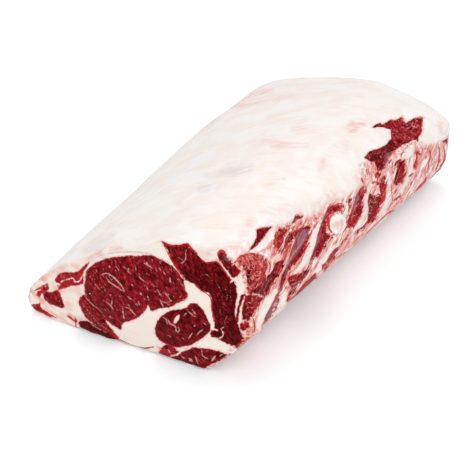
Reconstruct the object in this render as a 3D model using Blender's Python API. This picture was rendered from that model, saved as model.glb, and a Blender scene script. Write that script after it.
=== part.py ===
"""Whole boneless beef ribeye, raw, lying fat side up, as one solid.

The body is a loft between unlike cross sections. +Y runs from the shown cut face to the far one,
+X from the thin edge to the thick trimmed side, and +Z up from the surface that the meat lies on.
"""

import math

import bmesh
import bpy
from mathutils import Vector, geometry, noise

MM = 0.001

# Driving dimensions, in millimetres
LENGTH = 366.0
FACE_SKEW = 0.129  # how far the shown cut runs back for each millimetre across
FACE_BELLY = 7.0  # how far the shown cut swells forward at its foot
FAR_BELLY = 5.0
LENGTH_STEPS = 64
FACE_RINGS = 12
FAR_RINGS = 8
CENTRE_SHIFT = Vector((27.05, 5.55))  # brings the middle of the outline to the origin
WAVE_HEIGHT = 0.8  # of the soft swells all over
WAVE_LENGTH = 45.0

# The cross section's corner points, clockwise from where the thin edge meets the ground. Each has
# how many faces lead to the next, and its place (across, up) in millimetres at even steps from the
# shown cut to the far one.
RAILS = {
    "heel": (2, [(-100, 0), (-113, 0), (-120, 0), (-124, 0), (-118, 0)]),
    "tip_low": (2, [(-120, 6), (-134, 6), (-142, 7), (-147, 8), (-143, 8)]),
    "tip_high": (3, [(-121, 25), (-134, 22), (-141, 22), (-147, 24), (-144, 26)]),
    "flank_low": (3, [(-94, 56), (-104, 51), (-110, 51), (-118, 53), (-113, 54)]),
    "flank_mid": (3, [(-55, 86), (-64, 83), (-70, 81), (-77, 79), (-72, 71)]),
    "flank_high": (3, [(-16, 106), (-24, 105), (-29, 102), (-33, 95), (-33, 83)]),
    "crest": (3, [(15, 123), (13, 122), (11, 118), (8, 108), (2, 91)]),
    "crown": (3, [(46, 129), (46, 127), (44, 121), (40, 109), (34, 89)]),
    "shoulder": (4, [(74, 128), (72, 122), (70, 114), (67, 102), (62, 84)]),
    "side_high": (6, [(88, 112), (89, 102), (89, 94), (87, 84), (85, 74)]),
    "side_mid": (6, [(94, 85), (93, 78), (92, 70), (91, 62), (88, 57)]),
    "side_low": (7, [(91, 52), (91, 49), (90, 44), (90, 38), (87, 33)]),
    "hem": (5, [(71, 23), (74, 21), (74, 18), (76, 15), (80, 15)]),
    "foot": (2, [(50, 0), (52, 0), (54, 0), (57, 0), (63, 0)]),
    "sole_right": (5, [(24, 0), (26, 0), (28, 0), (30, 0), (34, 0)]),
    "sole_left": (4, [(-78, 0), (-88, 0), (-94, 0), (-97, 0), (-92, 0)]),
}

# Swells (+) and hollows (-) of the surface: height, half width and the line each follows, in millimetres
RELIEF = {
    "furrow under the fat cap": (-2.5, 7, [
        (104, -168, 125), (107, -149, 122), (105, -126, 121), (106, -110, 119), (110, -90, 113),
        (114, -66, 106), (113, -36, 104), (116, -10, 97), (117, 5, 94), (115, 20, 94)]),
    "near notch of the cap": (-3, 9, [(101, -122, 123), (107, -145, 123)]),
    "far trimmed patch": (-3.5, 14, [(88, 95, 104), (97, 118, 95), (100, 140, 90)]),
    "tail of the far patch": (-3, 9, [(103, 98, 97), (108, 75, 97), (108, 50, 98), (114, 42, 92)]),
    "torn lean lump": (3.5, 16, [(116, -160, 112), (119, -148, 100)]),
    "frayed tuft": (3, 12, [(111, -104, 116), (115, -115, 111)]),
    "near membrane": (-2.5, 9, [(116, -76, 102), (120, -100, 86), (122, -124, 72), (120, -135, 56)]),
    "upper sinew": (2.5, 7, [(116, -58, 101), (119, -73, 92), (120, -94, 82), (122, -108, 70)]),
    "lower sinew": (2.5, 7, [(121, -125, 74), (121, -140, 64), (118, -152, 50)]),
    "far membrane": (-2.5, 9, [(118, -26, 99), (118, -46, 97), (120, -56, 82), (121, -70, 72)]),
    "fat oval": (3.5, 13, [(120, -31, 90), (120, -31, 82)]),
    "near low lean": (2, 14, [(119, -166, 86), (119, -166, 72)]),
    "striped lean": (2, 12, [(121, -84, 71), (121, -98, 62), (120, -112, 58)]),
    "low strip": (2, 8, [(119, -12, 62), (120, -40, 60), (116, -52, 48)]),
    "middle strip": (2, 9, [(119, 46, 78), (120, 32, 66), (120, 12, 53)]),
    "far strip": (2, 9, [(116, 92, 84), (119, 86, 70), (119, 72, 64)]),
    "farthest strip": (2, 7, [(117, 118, 74), (117, 108, 62)]),
    "eye of the cut": (2.5, 34, [(-12, -190, 60), (14, -190, 66)]),
    "deep eye of the cut": (2.5, 24, [(58, -190, 46), (70, -190, 44)]),
    "cap muscle of the cut": (2, 13, [(62, -185, 112), (78, -185, 96), (102, -180, 76), (106, -180, 50)]),
    "fat seam of the cut": (-1.5, 9, [(60, -185, 88), (84, -185, 66), (90, -185, 48)]),
    "low fat of the cut": (-1.5, 12, [(16, -200, 34), (34, -198, 20)]),
}

# Beds of the ribs that were cut away, across the underside
RIB_COUNT = 7
RIB_FIRST = -157.0
RIB_PITCH = 51.0
RIB_DEPTH = 3.0
RIB_HALF_WIDTH = 13.0
RIB_ENDS = (-70.0, 62.0)
RIB_SLANT = 0.12


def catmull_rom(before, start, end, after, share):
    """A point on the smooth curve from start to end, share of the way along."""
    square, cube = share * share, share * share * share
    return (
        start * (2 - 5 * square + 3 * cube)
        + end * (share + 4 * square - 3 * cube)
        + before * (2 * square - share - cube)
        + after * (cube - square)
    ) / 2


def rail_point(stations, along):
    """Where a rail is at a share of the length, smoothly through its stations."""
    points = [Vector(station) for station in stations]
    points = [2 * points[0] - points[1], *points, 2 * points[-1] - points[-2]]
    place = along * (len(stations) - 1)
    index = min(int(place), len(stations) - 2)
    return catmull_rom(*points[index : index + 4], place - index)


def section(along):
    """The closed cross section at a share of the length, as (across, up) points in millimetres."""
    corners = [rail_point(stations, along) for _, stations in RAILS.values()]
    outline = []
    for index, (steps, _) in enumerate(RAILS.values()):
        near = [corners[(index + offset) % len(corners)] for offset in (-1, 0, 1, 2)]
        outline += [catmull_rom(*near, step / steps) for step in range(steps)]
    return [Vector((point.x, max(point.y, 0.0))) for point in outline]


def placed(point, along, forward=0.0):
    """A section's point in the object's own frame, in metres."""
    skew = FACE_SKEW * (1 - along)
    y = (along - 0.5) * LENGTH + skew * point.x - forward
    return Vector((point.x + CENTRE_SHIFT.x, y + CENTRE_SHIFT.y, point.y)) * MM


def add_body(mesh):
    """The loft's rings, joined side by side, and the first and last ring."""
    rings = []
    for step in range(LENGTH_STEPS + 1):
        along = step / LENGTH_STEPS
        rings.append([mesh.verts.new(placed(point, along)) for point in section(along)])
    for near, far in zip(rings, rings[1:]):
        join_rings(mesh, near, far)
    return rings[0], rings[-1]


def join_rings(mesh, near, far):
    """A strip of faces from one closed ring to the next."""
    for index in range(len(near)):
        after = (index + 1) % len(near)
        mesh.faces.new((near[index], near[after], far[after], far[index]))


def add_cut(mesh, ring, along, rings, belly):
    """A cut end: ever smaller rings towards the middle, which swell by up to belly."""
    outline = section(along)
    middle = sum(outline, Vector((0, 0))) / len(outline)
    outward = 1 if along == 0 else -1
    outer = ring
    for step in range(1, rings):
        share = 1 - step / rings
        forward = outward * belly * (1 - share**2)
        inner = [
            mesh.verts.new(placed(middle.lerp(point, share), along, forward))
            for point in outline
        ]
        join_rings(mesh, *((inner, outer) if along == 0 else (outer, inner)))
        outer = inner
    tip = mesh.verts.new(placed(middle, along, outward * belly))
    for index in range(len(outer)):
        pair = (outer[index], outer[(index + 1) % len(outer)])
        mesh.faces.new((tip, *(reversed(pair) if along else pair)))


def gap_to(point, line):
    """The distance from a point to the nearest place on a line of points."""
    gaps = []
    for start, end in zip(line, line[1:]):
        nearest, share = geometry.intersect_point_line(point, start, end)
        gaps.append((point - (start if share < 0 else end if share > 1 else nearest)).length)
    return min(gaps)


def swell(gap, half_width):
    """1 on the line of a swell, falling smoothly to 0 at its half width."""
    return max(0.0, 1 - (gap / half_width) ** 2) ** 2


def raise_relief(mesh):
    """Moves the surface out and in by the relief, the rib beds and the soft waves."""
    features = {
        name: (height, half_width, [Vector(point) for point in line])
        for name, (height, half_width, line) in RELIEF.items()
    }
    for index in range(RIB_COUNT):
        y = RIB_FIRST + index * RIB_PITCH
        bed = [Vector((x, y + RIB_SLANT * x, 0)) for x in RIB_ENDS]
        features[f"rib bed {index + 1}"] = (-RIB_DEPTH, RIB_HALF_WIDTH, bed)
    mesh.normal_update()
    moves = []
    for vertex in mesh.verts:
        point = vertex.co / MM
        height = WAVE_HEIGHT * noise.noise(point / WAVE_LENGTH)
        for peak, half_width, line in features.values():
            height += peak * swell(gap_to(point, line), half_width)
        moves.append(vertex.normal * height * MM)
    for vertex, move in zip(mesh.verts, moves):
        vertex.co += move
        vertex.co.z = max(vertex.co.z, 0.0)


def flesh_material():
    """Dark red raw beef."""
    material = bpy.data.materials.new("beef")
    material.use_nodes = True
    shader = material.node_tree.nodes["Principled BSDF"]
    shader.inputs["Base Color"].default_value = (0.25, 0.02, 0.025, 1)
    shader.inputs["Roughness"].default_value = 0.4
    shader.inputs["Metallic"].default_value = 0.0
    return material


def make_ribeye(collection):
    """The whole roast as one closed mesh."""
    mesh = bmesh.new()
    near, far = add_body(mesh)
    add_cut(mesh, near, 0, FACE_RINGS, FACE_BELLY)
    add_cut(mesh, far, 1, FAR_RINGS, FAR_BELLY)
    bmesh.ops.recalc_face_normals(mesh, faces=mesh.faces)
    raise_relief(mesh)
    data = bpy.data.meshes.new("ribeye")
    mesh.to_mesh(data)
    mesh.free()
    data.materials.append(flesh_material())
    roast = bpy.data.objects.new("ribeye", data)
    collection.objects.link(roast)
    data.shade_smooth()
    data.set_sharp_from_angle(angle=math.radians(50))
    return roast


def main():
    """Clears the scene and builds the roast in its own collection."""
    for old in list(bpy.data.objects):
        bpy.data.objects.remove(old)
    collection = bpy.data.collections.new("beef_ribeye")
    bpy.context.scene.collection.children.link(collection)
    make_ribeye(collection)


if __name__ == "__main__":
    main()
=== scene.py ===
"""Looks of a whole raw beef ribeye: cut faces, fat cap and trimmed side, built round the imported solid."""

import logging
import math
from collections.abc import Callable
from dataclasses import dataclass, field
from enum import Enum

import bpy
import numpy as np
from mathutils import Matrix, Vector


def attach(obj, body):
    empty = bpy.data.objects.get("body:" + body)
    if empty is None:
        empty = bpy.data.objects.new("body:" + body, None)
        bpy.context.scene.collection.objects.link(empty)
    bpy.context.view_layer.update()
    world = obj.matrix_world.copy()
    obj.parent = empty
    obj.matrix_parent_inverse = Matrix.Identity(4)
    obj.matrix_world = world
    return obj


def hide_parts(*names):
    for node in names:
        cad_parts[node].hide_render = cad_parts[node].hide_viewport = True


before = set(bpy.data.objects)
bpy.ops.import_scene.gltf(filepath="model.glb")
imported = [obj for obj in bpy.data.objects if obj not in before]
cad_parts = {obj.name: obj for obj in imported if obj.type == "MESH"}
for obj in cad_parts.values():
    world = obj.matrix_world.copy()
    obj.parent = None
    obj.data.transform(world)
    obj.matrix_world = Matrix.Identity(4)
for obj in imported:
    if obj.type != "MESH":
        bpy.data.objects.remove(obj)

MM = 0.001
PICTURE = 473.0  # the square picture's side, in its own pixels
PIXEL = 0.9  # about how many millimetres of the meat one of them covers
OUTSIDE = -10.0  # a signed distance, in millimetres, for what is far from a mark

# The solid's own sizes that the looks follow, in millimetres
ACROSS = 27.05  # from the middle of the cut to the origin
RIB_FIRST = -157.0
RIB_PITCH = 51.0
RIB_SLANT = 0.12

FIBRES_RUN = (0.0, -0.837, -0.547)  # the direction of the trimmed side's threads

Points = list[tuple[float, float]]
Triple = tuple[float, float, float]
Colour = tuple[float, float, float, float]
Rule = Callable[[np.ndarray, np.ndarray], np.ndarray]  # picks faces by their centres and normals


@dataclass(frozen=True)
class Viewpoint:
    """Where the meat is looked at from, and where each point of it then falls in the picture."""

    azimuth: float = 34.0
    elevation: float = 36.0
    distance: float = 1400.0
    lens: float = 120.0
    sensor: float = 36.0
    target: Triple = (ACROSS, -48.9, 45.0)

    def axes(self) -> np.ndarray:
        """Works out the picture's own axes.

        Returns:
            Its right, up and backward directions, one a row.
        """
        turn, lift = math.radians(self.azimuth), math.radians(self.elevation)
        right = np.array((math.cos(turn), math.sin(turn), 0.0))
        back = np.array(
            (math.sin(turn) * math.cos(lift), -math.cos(turn) * math.cos(lift), math.sin(lift))
        )
        return np.array((right, np.cross(back, right), back))

    def position(self) -> np.ndarray:
        """The camera's place, in millimetres."""
        return np.array(self.target) + self.axes()[2] * self.distance

    def picture(self, points: np.ndarray) -> np.ndarray:
        """Finds where points fall in the picture.

        Args:
            points: Places in millimetres, one a row.

        Returns:
            Picture coordinates, to the right and down, one a row.
        """
        right, up, back = ((points - self.position()) @ self.axes().T).T
        scale = self.lens / self.sensor * PICTURE / -back
        return np.stack((PICTURE / 2 + right * scale, PICTURE / 2 - up * scale), axis=1)

    def facing(self, normals: np.ndarray) -> np.ndarray:
        """How far each surface direction turns towards the camera, from -1 to 1."""
        return normals @ self.axes()[2]


@dataclass(frozen=True)
class CloseUp:
    """A ruler for one part of the picture, in which outlines are read off finely."""

    left: float
    top: float
    zoom: float

    def to_picture(self, points: Points) -> np.ndarray:
        """The points in picture coordinates."""
        return np.array((self.left, self.top)) + np.array(points, float) / self.zoom


CUT = CloseUp(20, 220, 6.272)
SIDE = CloseUp(220, 200, 9.224)
MIDDLE = CloseUp(200, 80, 6.03)
FAR = CloseUp(330, 60, 10.453)
WHOLE = CloseUp(0, 0, 1)
PLAN = CloseUp(0, 0, 1)  # millimetres on a hidden side, not the picture


class Edge(Enum):
    """How the border of a mark runs."""

    ROUNDED = 3
    JAGGED = 1


@dataclass(frozen=True)
class Patch:
    """A closed outline filled with one tissue."""

    ruler: CloseUp
    points: Points
    tone: float = 0.35  # 0 is the darkest lean and 1 the brightest
    sunk: float = 0.0  # millimetres below what lies round it
    edge: Edge = Edge.ROUNDED


@dataclass(frozen=True)
class Stroke:
    """A line of one tissue, drawn with a width that tapers to its ends."""

    ruler: CloseUp
    width: float  # half of it, in the ruler's units
    points: Points
    tone: float = 0.5
    soft: float = 4.5  # how far a stain fades out, in millimetres


LEAN: dict[str, Patch] = {
    "eye": Patch(CUT, [
        (408, 372), (412, 325), (432, 300), (470, 272), (505, 255), (560, 238), (620, 230), (690, 224),
        (740, 226), (790, 219), (830, 222), (870, 240), (910, 262), (950, 285), (980, 315), (1005, 345),
        (1025, 375), (1032, 405), (1035, 435), (1052, 465), (1048, 490), (1020, 510), (985, 525), (960, 538),
        (930, 550), (880, 555), (840, 568), (818, 568), (808, 545), (803, 533), (795, 550), (780, 575),
        (745, 608), (700, 632), (660, 642), (640, 655), (632, 690), (600, 672), (570, 655), (545, 632),
        (525, 605), (500, 575), (470, 550), (440, 520), (420, 500), (407, 470), (403, 420)], 0.52),
    "deep eye": Patch(CUT, [
        (845, 690), (850, 660), (862, 632), (885, 605), (915, 582), (945, 568), (985, 562), (1015, 560),
        (1045, 548), (1065, 528), (1090, 520), (1115, 530), (1140, 555), (1160, 585), (1170, 610),
        (1185, 640), (1195, 665), (1190, 700), (1170, 720), (1140, 745), (1105, 768), (1080, 785),
        (1050, 790), (1020, 795), (990, 800), (960, 795), (935, 785), (905, 775), (880, 760), (862, 740),
        (850, 715)], 0.38),
    "cap muscle": Patch(CUT, [
        (882, 130), (905, 138), (930, 150), (960, 160), (1000, 155), (1045, 142), (1060, 148), (1080, 175),
        (1100, 190), (1115, 215), (1135, 245), (1165, 262), (1200, 262), (1235, 258), (1255, 280),
        (1275, 305), (1300, 340), (1320, 365), (1335, 380), (1352, 395), (1358, 430), (1362, 470),
        (1355, 520), (1350, 560), (1348, 600), (1362, 640), (1375, 680), (1390, 720), (1402, 745),
        (1390, 775), (1368, 803), (1340, 790), (1300, 778), (1265, 760), (1230, 742), (1200, 735),
        (1190, 715), (1205, 690), (1220, 665), (1218, 640), (1210, 600), (1200, 560), (1198, 520),
        (1200, 490), (1185, 460), (1165, 455), (1135, 445), (1110, 420), (1090, 400), (1060, 388),
        (1035, 375), (1020, 350), (1000, 322), (978, 295), (960, 275), (945, 245), (935, 215), (920, 185),
        (900, 160)], 0.24, edge=Edge.JAGGED),
    "top of the cap muscle": Patch(CUT, [
        (882, 130), (905, 138), (930, 150), (960, 160), (1000, 155), (1045, 142), (1060, 148), (1080, 175),
        (1100, 190), (1115, 215), (1120, 250), (1090, 290), (1060, 320), (1020, 330), (1000, 322),
        (978, 295), (960, 275), (945, 245), (935, 215), (920, 185), (900, 160)], 0.42, edge=Edge.JAGGED),
    "strip by the cap muscle": Patch(CUT, [
        (1240, 205), (1268, 192), (1288, 200), (1302, 232), (1318, 255), (1342, 275), (1368, 298),
        (1382, 325), (1362, 352), (1335, 365), (1320, 350), (1300, 320), (1275, 290), (1255, 260),
        (1240, 235)], 0.4),
    "low strip of the cut": Patch(CUT, [
        (868, 838), (885, 822), (910, 800), (940, 790), (965, 800), (985, 820), (1010, 825), (1040, 812),
        (1075, 800), (1100, 800), (1130, 802), (1165, 805), (1200, 812), (1240, 820), (1275, 832),
        (1300, 845), (1285, 868), (1255, 885), (1225, 898), (1190, 912), (1155, 935), (1130, 942),
        (1105, 935), (1075, 915), (1050, 903), (1010, 892), (960, 878), (920, 862), (890, 852)], 0.42,
        edge=Edge.JAGGED),
    "torn bit of the low strip": Patch(CUT, [
        (868, 838), (880, 810), (900, 788), (925, 778), (950, 785), (975, 802), (985, 820), (965, 845),
        (940, 860), (905, 855)], 0.75, edge=Edge.JAGGED),
    "outer crescent": Patch(CUT, [
        (398, 468), (420, 494), (442, 519), (472, 549), (502, 575), (528, 603), (552, 637), (571, 666),
        (590, 704), (618, 738), (635, 780), (612, 760), (585, 735), (550, 715), (510, 690), (470, 660),
        (430, 632), (400, 595), (380, 555), (368, 520), (372, 495)], 0.6),
    "low crescent": Patch(CUT, [
        (366, 642), (400, 630), (440, 640), (480, 662), (520, 690), (560, 708), (590, 728), (625, 765),
        (565, 762), (520, 750), (480, 736), (440, 716), (408, 698), (382, 675)], 0.25),
    "left muscle": Patch(CUT, [
        (218, 375), (235, 345), (255, 330), (290, 325), (330, 330), (365, 318), (390, 300), (410, 275),
        (432, 262), (425, 290), (405, 320), (395, 350), (400, 380), (395, 400), (360, 410), (320, 415),
        (290, 425), (260, 435), (240, 438), (232, 415), (245, 400), (225, 392)], 0.8, edge=Edge.JAGGED),
    "tip muscle": Patch(CUT, [
        (140, 455), (165, 448), (195, 452), (230, 440), (250, 460), (262, 490), (272, 520), (280, 545),
        (262, 553), (235, 545), (205, 535), (175, 520), (155, 500), (148, 480)], 0.55),
    "tip shreds": Patch(CUT, [
        (75, 545), (100, 530), (125, 520), (130, 545), (160, 570), (190, 590), (212, 600), (185, 602),
        (150, 588), (115, 578), (90, 572)], 0.85, edge=Edge.JAGGED),
    "frayed tip": Patch(CUT, [
        (98, 470), (112, 442), (128, 446), (138, 405), (158, 418), (172, 398), (182, 432), (165, 450),
        (150, 470), (138, 462), (122, 486)], 0.9, edge=Edge.JAGGED),
    "torn lump": Patch(SIDE, [
        (150, 545), (170, 520), (200, 505), (250, 490), (290, 485), (330, 490), (380, 500), (410, 520),
        (430, 560), (440, 610), (435, 660), (420, 700), (400, 740), (370, 780), (345, 810), (320, 840),
        (300, 865), (262, 872), (252, 820), (247, 770), (243, 720), (235, 670), (222, 640), (205, 615),
        (180, 595), (162, 575)], 0.72, edge=Edge.JAGGED),
    "bright fold of the lump": Patch(SIDE, [
        (318, 522), (352, 512), (388, 530), (410, 566), (422, 620), (414, 690), (388, 742), (348, 778),
        (322, 742), (338, 690), (330, 640), (305, 610), (318, 570)], 0.98, edge=Edge.JAGGED),
    "lean under the lump": Patch(SIDE, [
        (440, 700), (480, 660), (510, 600), (530, 570), (560, 560), (605, 565), (600, 600), (575, 650),
        (550, 700), (520, 740), (500, 780), (475, 830), (450, 870), (420, 890), (390, 885), (365, 870),
        (330, 870), (290, 865), (300, 840), (370, 790), (400, 750)], 0.3, 0.6),
    "near low block": Patch(SIDE, [
        (235, 890), (265, 875), (310, 880), (345, 875), (380, 900), (405, 905), (395, 940), (375, 975),
        (350, 1010), (320, 1040), (300, 1080), (270, 1110), (235, 1112), (205, 1100), (200, 1050),
        (205, 1000), (215, 950)], 0.5, edge=Edge.JAGGED),
    "small oval": Patch(SIDE, [
        (185, 1140), (215, 1130), (265, 1130), (272, 1160), (255, 1190), (230, 1215), (205, 1215),
        (190, 1195), (180, 1165)], 0.6),
    "thin edge strip": Patch(SIDE, [
        (190, 880), (215, 870), (235, 850), (222, 890), (207, 930), (190, 980), (182, 1030), (172, 1080),
        (170, 1130), (160, 1150), (140, 1120), (150, 1060), (160, 1000), (175, 940)], 0.35),
    "near notch": Patch(SIDE, [
        (335, 275), (365, 258), (420, 250), (490, 240), (470, 265), (445, 290), (420, 330), (385, 370),
        (350, 410), (310, 445), (265, 475), (290, 430), (320, 390), (340, 345), (345, 310)], 0.32, 1.6,
        edge=Edge.JAGGED),
    "second notch": Patch(SIDE, [
        (700, 125), (740, 140), (775, 155), (740, 180), (700, 205), (668, 215), (685, 180), (695, 150)],
        0.5, 1.2, edge=Edge.JAGGED),
    "tuft": Patch(SIDE, [
        (550, 255), (590, 260), (635, 262), (640, 285), (605, 320), (575, 360), (580, 395), (570, 440),
        (550, 480), (530, 490), (545, 450), (510, 440), (490, 400), (500, 360), (510, 310), (530, 280)],
        0.3, edge=Edge.JAGGED),
    "second tuft": Patch(SIDE, [
        (640, 300), (670, 280), (720, 270), (760, 262), (745, 300), (700, 330), (680, 370), (650, 400),
        (620, 440), (600, 470), (590, 500), (560, 510), (570, 470), (590, 430), (600, 390), (605, 350),
        (620, 320)], 0.5, edge=Edge.JAGGED),
    "near membrane": Patch(SIDE, [
        (700, 290), (750, 255), (800, 240), (835, 245), (838, 290), (830, 340), (815, 400), (790, 450),
        (760, 500), (720, 560), (690, 600), (665, 640), (640, 670), (620, 700), (600, 740), (580, 790),
        (570, 840), (555, 870), (535, 850), (545, 800), (560, 740), (575, 690), (600, 640), (620, 590),
        (640, 540), (655, 480), (670, 430), (690, 370)], 0.5, 0.8),
    "low membrane": Patch(SIDE, [
        (560, 870), (545, 930), (520, 990), (490, 1050), (470, 1090), (440, 1130), (395, 1178),
        (400, 1150), (420, 1090), (450, 1020), (480, 960), (510, 900), (535, 860)], 0.4, 0.8),
    "striated lean": Patch(SIDE, [
        (640, 700), (700, 685), (760, 670), (800, 640), (835, 580), (820, 650), (790, 690), (770, 740),
        (740, 770), (720, 800), (700, 840), (670, 880), (640, 930), (620, 955), (612, 930), (625, 890),
        (640, 850), (660, 810), (640, 780), (625, 740)], 0.5, edge=Edge.JAGGED),
    "low streak": Patch(SIDE, [
        (885, 665), (895, 740), (858, 788), (818, 830), (775, 872), (725, 912), (680, 950), (640, 970),
        (622, 962), (655, 912), (708, 858), (748, 808), (790, 765), (830, 722), (855, 692)], 0.62,
        edge=Edge.JAGGED),
    "far membrane": Patch(SIDE, [
        (1010, 60), (1050, 50), (1100, 40), (1140, 55), (1120, 85), (1080, 105), (1040, 125), (1010, 170),
        (995, 220), (990, 280), (1000, 320), (1040, 335), (1020, 370), (990, 410), (960, 450), (930, 490),
        (910, 520), (880, 540), (850, 575), (830, 600), (835, 560), (850, 520), (870, 460), (890, 400),
        (905, 330), (925, 260), (950, 200), (975, 130)], 0.55, 0.8),
    "low strip": Patch(SIDE, [
        (1190, 320), (1210, 300), (1190, 350), (1150, 390), (1130, 420), (1110, 450), (1090, 490),
        (1070, 530), (1040, 570), (1010, 600), (985, 640), (955, 660), (945, 630), (940, 600), (960, 590),
        (990, 560), (1020, 500), (1060, 450), (1100, 430), (1130, 380)], 0.6, 0.4, edge=Edge.JAGGED),
    "behind the oval": Patch(MIDDLE, [
        (945, 695), (965, 655), (1000, 635), (1005, 680), (985, 740), (980, 790), (965, 830), (935, 870),
        (915, 895), (890, 890), (895, 850), (910, 810), (925, 760)], 0.45, 0.6, edge=Edge.JAGGED),
    "dark spot": Patch(MIDDLE, [(905, 712), (915, 720), (912, 750), (900, 755), (897, 730)], 0.25),
    "barred lean": Patch(MIDDLE, [
        (1020, 700), (1030, 680), (1050, 690), (1075, 705), (1092, 690), (1085, 640), (1092, 600),
        (1110, 580), (1126, 600), (1125, 650), (1115, 700), (1110, 740), (1090, 775), (1080, 800),
        (1060, 840), (1035, 860), (1010, 875), (990, 895), (960, 920), (935, 930), (950, 905), (985, 880),
        (1010, 850), (1015, 810), (1020, 770), (1010, 730)], 0.42, 0.4, edge=Edge.JAGGED),
    "far patch": Patch(FAR, [
        (445, 708), (490, 670), (530, 655), (560, 665), (600, 640), (640, 620), (690, 622), (740, 595),
        (765, 590), (775, 620), (800, 655), (850, 620), (900, 600), (975, 590), (972, 640), (968, 700),
        (965, 760), (935, 800), (925, 855), (905, 830), (870, 835), (830, 860), (790, 870), (750, 890),
        (700, 930), (660, 950), (640, 990), (620, 1040), (600, 1080), (575, 1130), (540, 1160),
        (500, 1150), (480, 1100), (470, 1060), (430, 1060), (400, 1040), (360, 1020), (390, 990),
        (415, 950), (460, 935), (520, 930), (560, 900), (600, 880), (620, 840), (645, 820), (640, 770),
        (635, 720), (600, 715), (560, 700), (500, 695)], 0.5, 1.8, edge=Edge.JAGGED),
    "tail of the far patch": Patch(FAR, [
        (400, 1000), (470, 940), (560, 905), (640, 880), (690, 915), (660, 950), (640, 990), (620, 1040),
        (600, 1080), (575, 1130), (540, 1160), (500, 1150), (480, 1100), (470, 1060), (430, 1060),
        (400, 1040)], 0.3, 1.8, edge=Edge.JAGGED),
    "far oval": Patch(FAR, [
        (700, 1050), (730, 1035), (765, 1050), (790, 1080), (797, 1150), (785, 1220), (775, 1270),
        (750, 1290), (720, 1295), (690, 1315), (665, 1290), (675, 1240), (690, 1180), (705, 1130),
        (690, 1110), (670, 1110), (680, 1080)], 0.5, 0.5, edge=Edge.JAGGED),
    "farthest oval": Patch(FAR, [
        (905, 960), (930, 950), (955, 985), (940, 1000), (925, 990), (925, 1040), (915, 1100),
        (905, 1140), (885, 1140), (870, 1110), (885, 1070), (900, 1020)], 0.8, 0.4),
    "dark link": Patch(FAR, [
        (545, 1230), (575, 1210), (592, 1240), (590, 1300), (575, 1360), (550, 1370), (530, 1340),
        (535, 1290)], 0.55, 0.5),
    "small clot": Patch(FAR, [
        (470, 1180), (500, 1160), (540, 1190), (520, 1220), (490, 1240), (470, 1210)], 0.75,
        edge=Edge.JAGGED),
    "corner of the far cut": Patch(FAR, [
        (1170, 850), (1210, 830), (1262, 800), (1256, 860), (1240, 895), (1215, 860), (1185, 870)], 0.45,
        edge=Edge.JAGGED),
    "bright fleck": Patch(FAR, [
        (660, 1470), (690, 1440), (740, 1410), (745, 1430), (720, 1460), (690, 1480)], 0.9,
        edge=Edge.JAGGED),
    "edge shred": Patch(FAR, [(325, 1230), (345, 1250), (362, 1290), (345, 1280), (330, 1250)], 0.7),
}

FAT_PATCHES: dict[str, Patch] = {
    "wedge in the deep eye": Patch(CUT, [
        (985, 600), (1000, 600), (992, 625), (972, 650), (962, 642), (970, 620)]),
}

FAT_SEAMS: dict[str, Stroke] = {
    "wedge below the eye": Stroke(CUT, 9, [(540, 632), (570, 664), (605, 702), (640, 745)]),
    "jagged in the left muscle": Stroke(CUT, 3.5, [
        (235, 425), (262, 385), (290, 375), (330, 365), (345, 388), (372, 382), (392, 350), (400, 325)]),
    "under the deep eye": Stroke(CUT, 8, [
        (945, 855), (985, 845), (1015, 820), (1050, 808), (1080, 790), (1120, 765), (1165, 735)]),
    "between the deep eye and the cap muscle": Stroke(CUT, 5, [
        (1190, 640), (1200, 660), (1215, 683), (1242, 695)]),
    "curl at the foot": Stroke(CUT, 3, [
        (1215, 738), (1250, 742), (1272, 725), (1270, 700), (1262, 685), (1278, 670)]),
    "right line": Stroke(CUT, 4, [(1352, 400), (1335, 380), (1318, 395)]),
    "beside the membrane": Stroke(SIDE, 7, [(605, 560), (595, 640), (575, 720), (558, 790), (545, 850)]),
}

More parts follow.
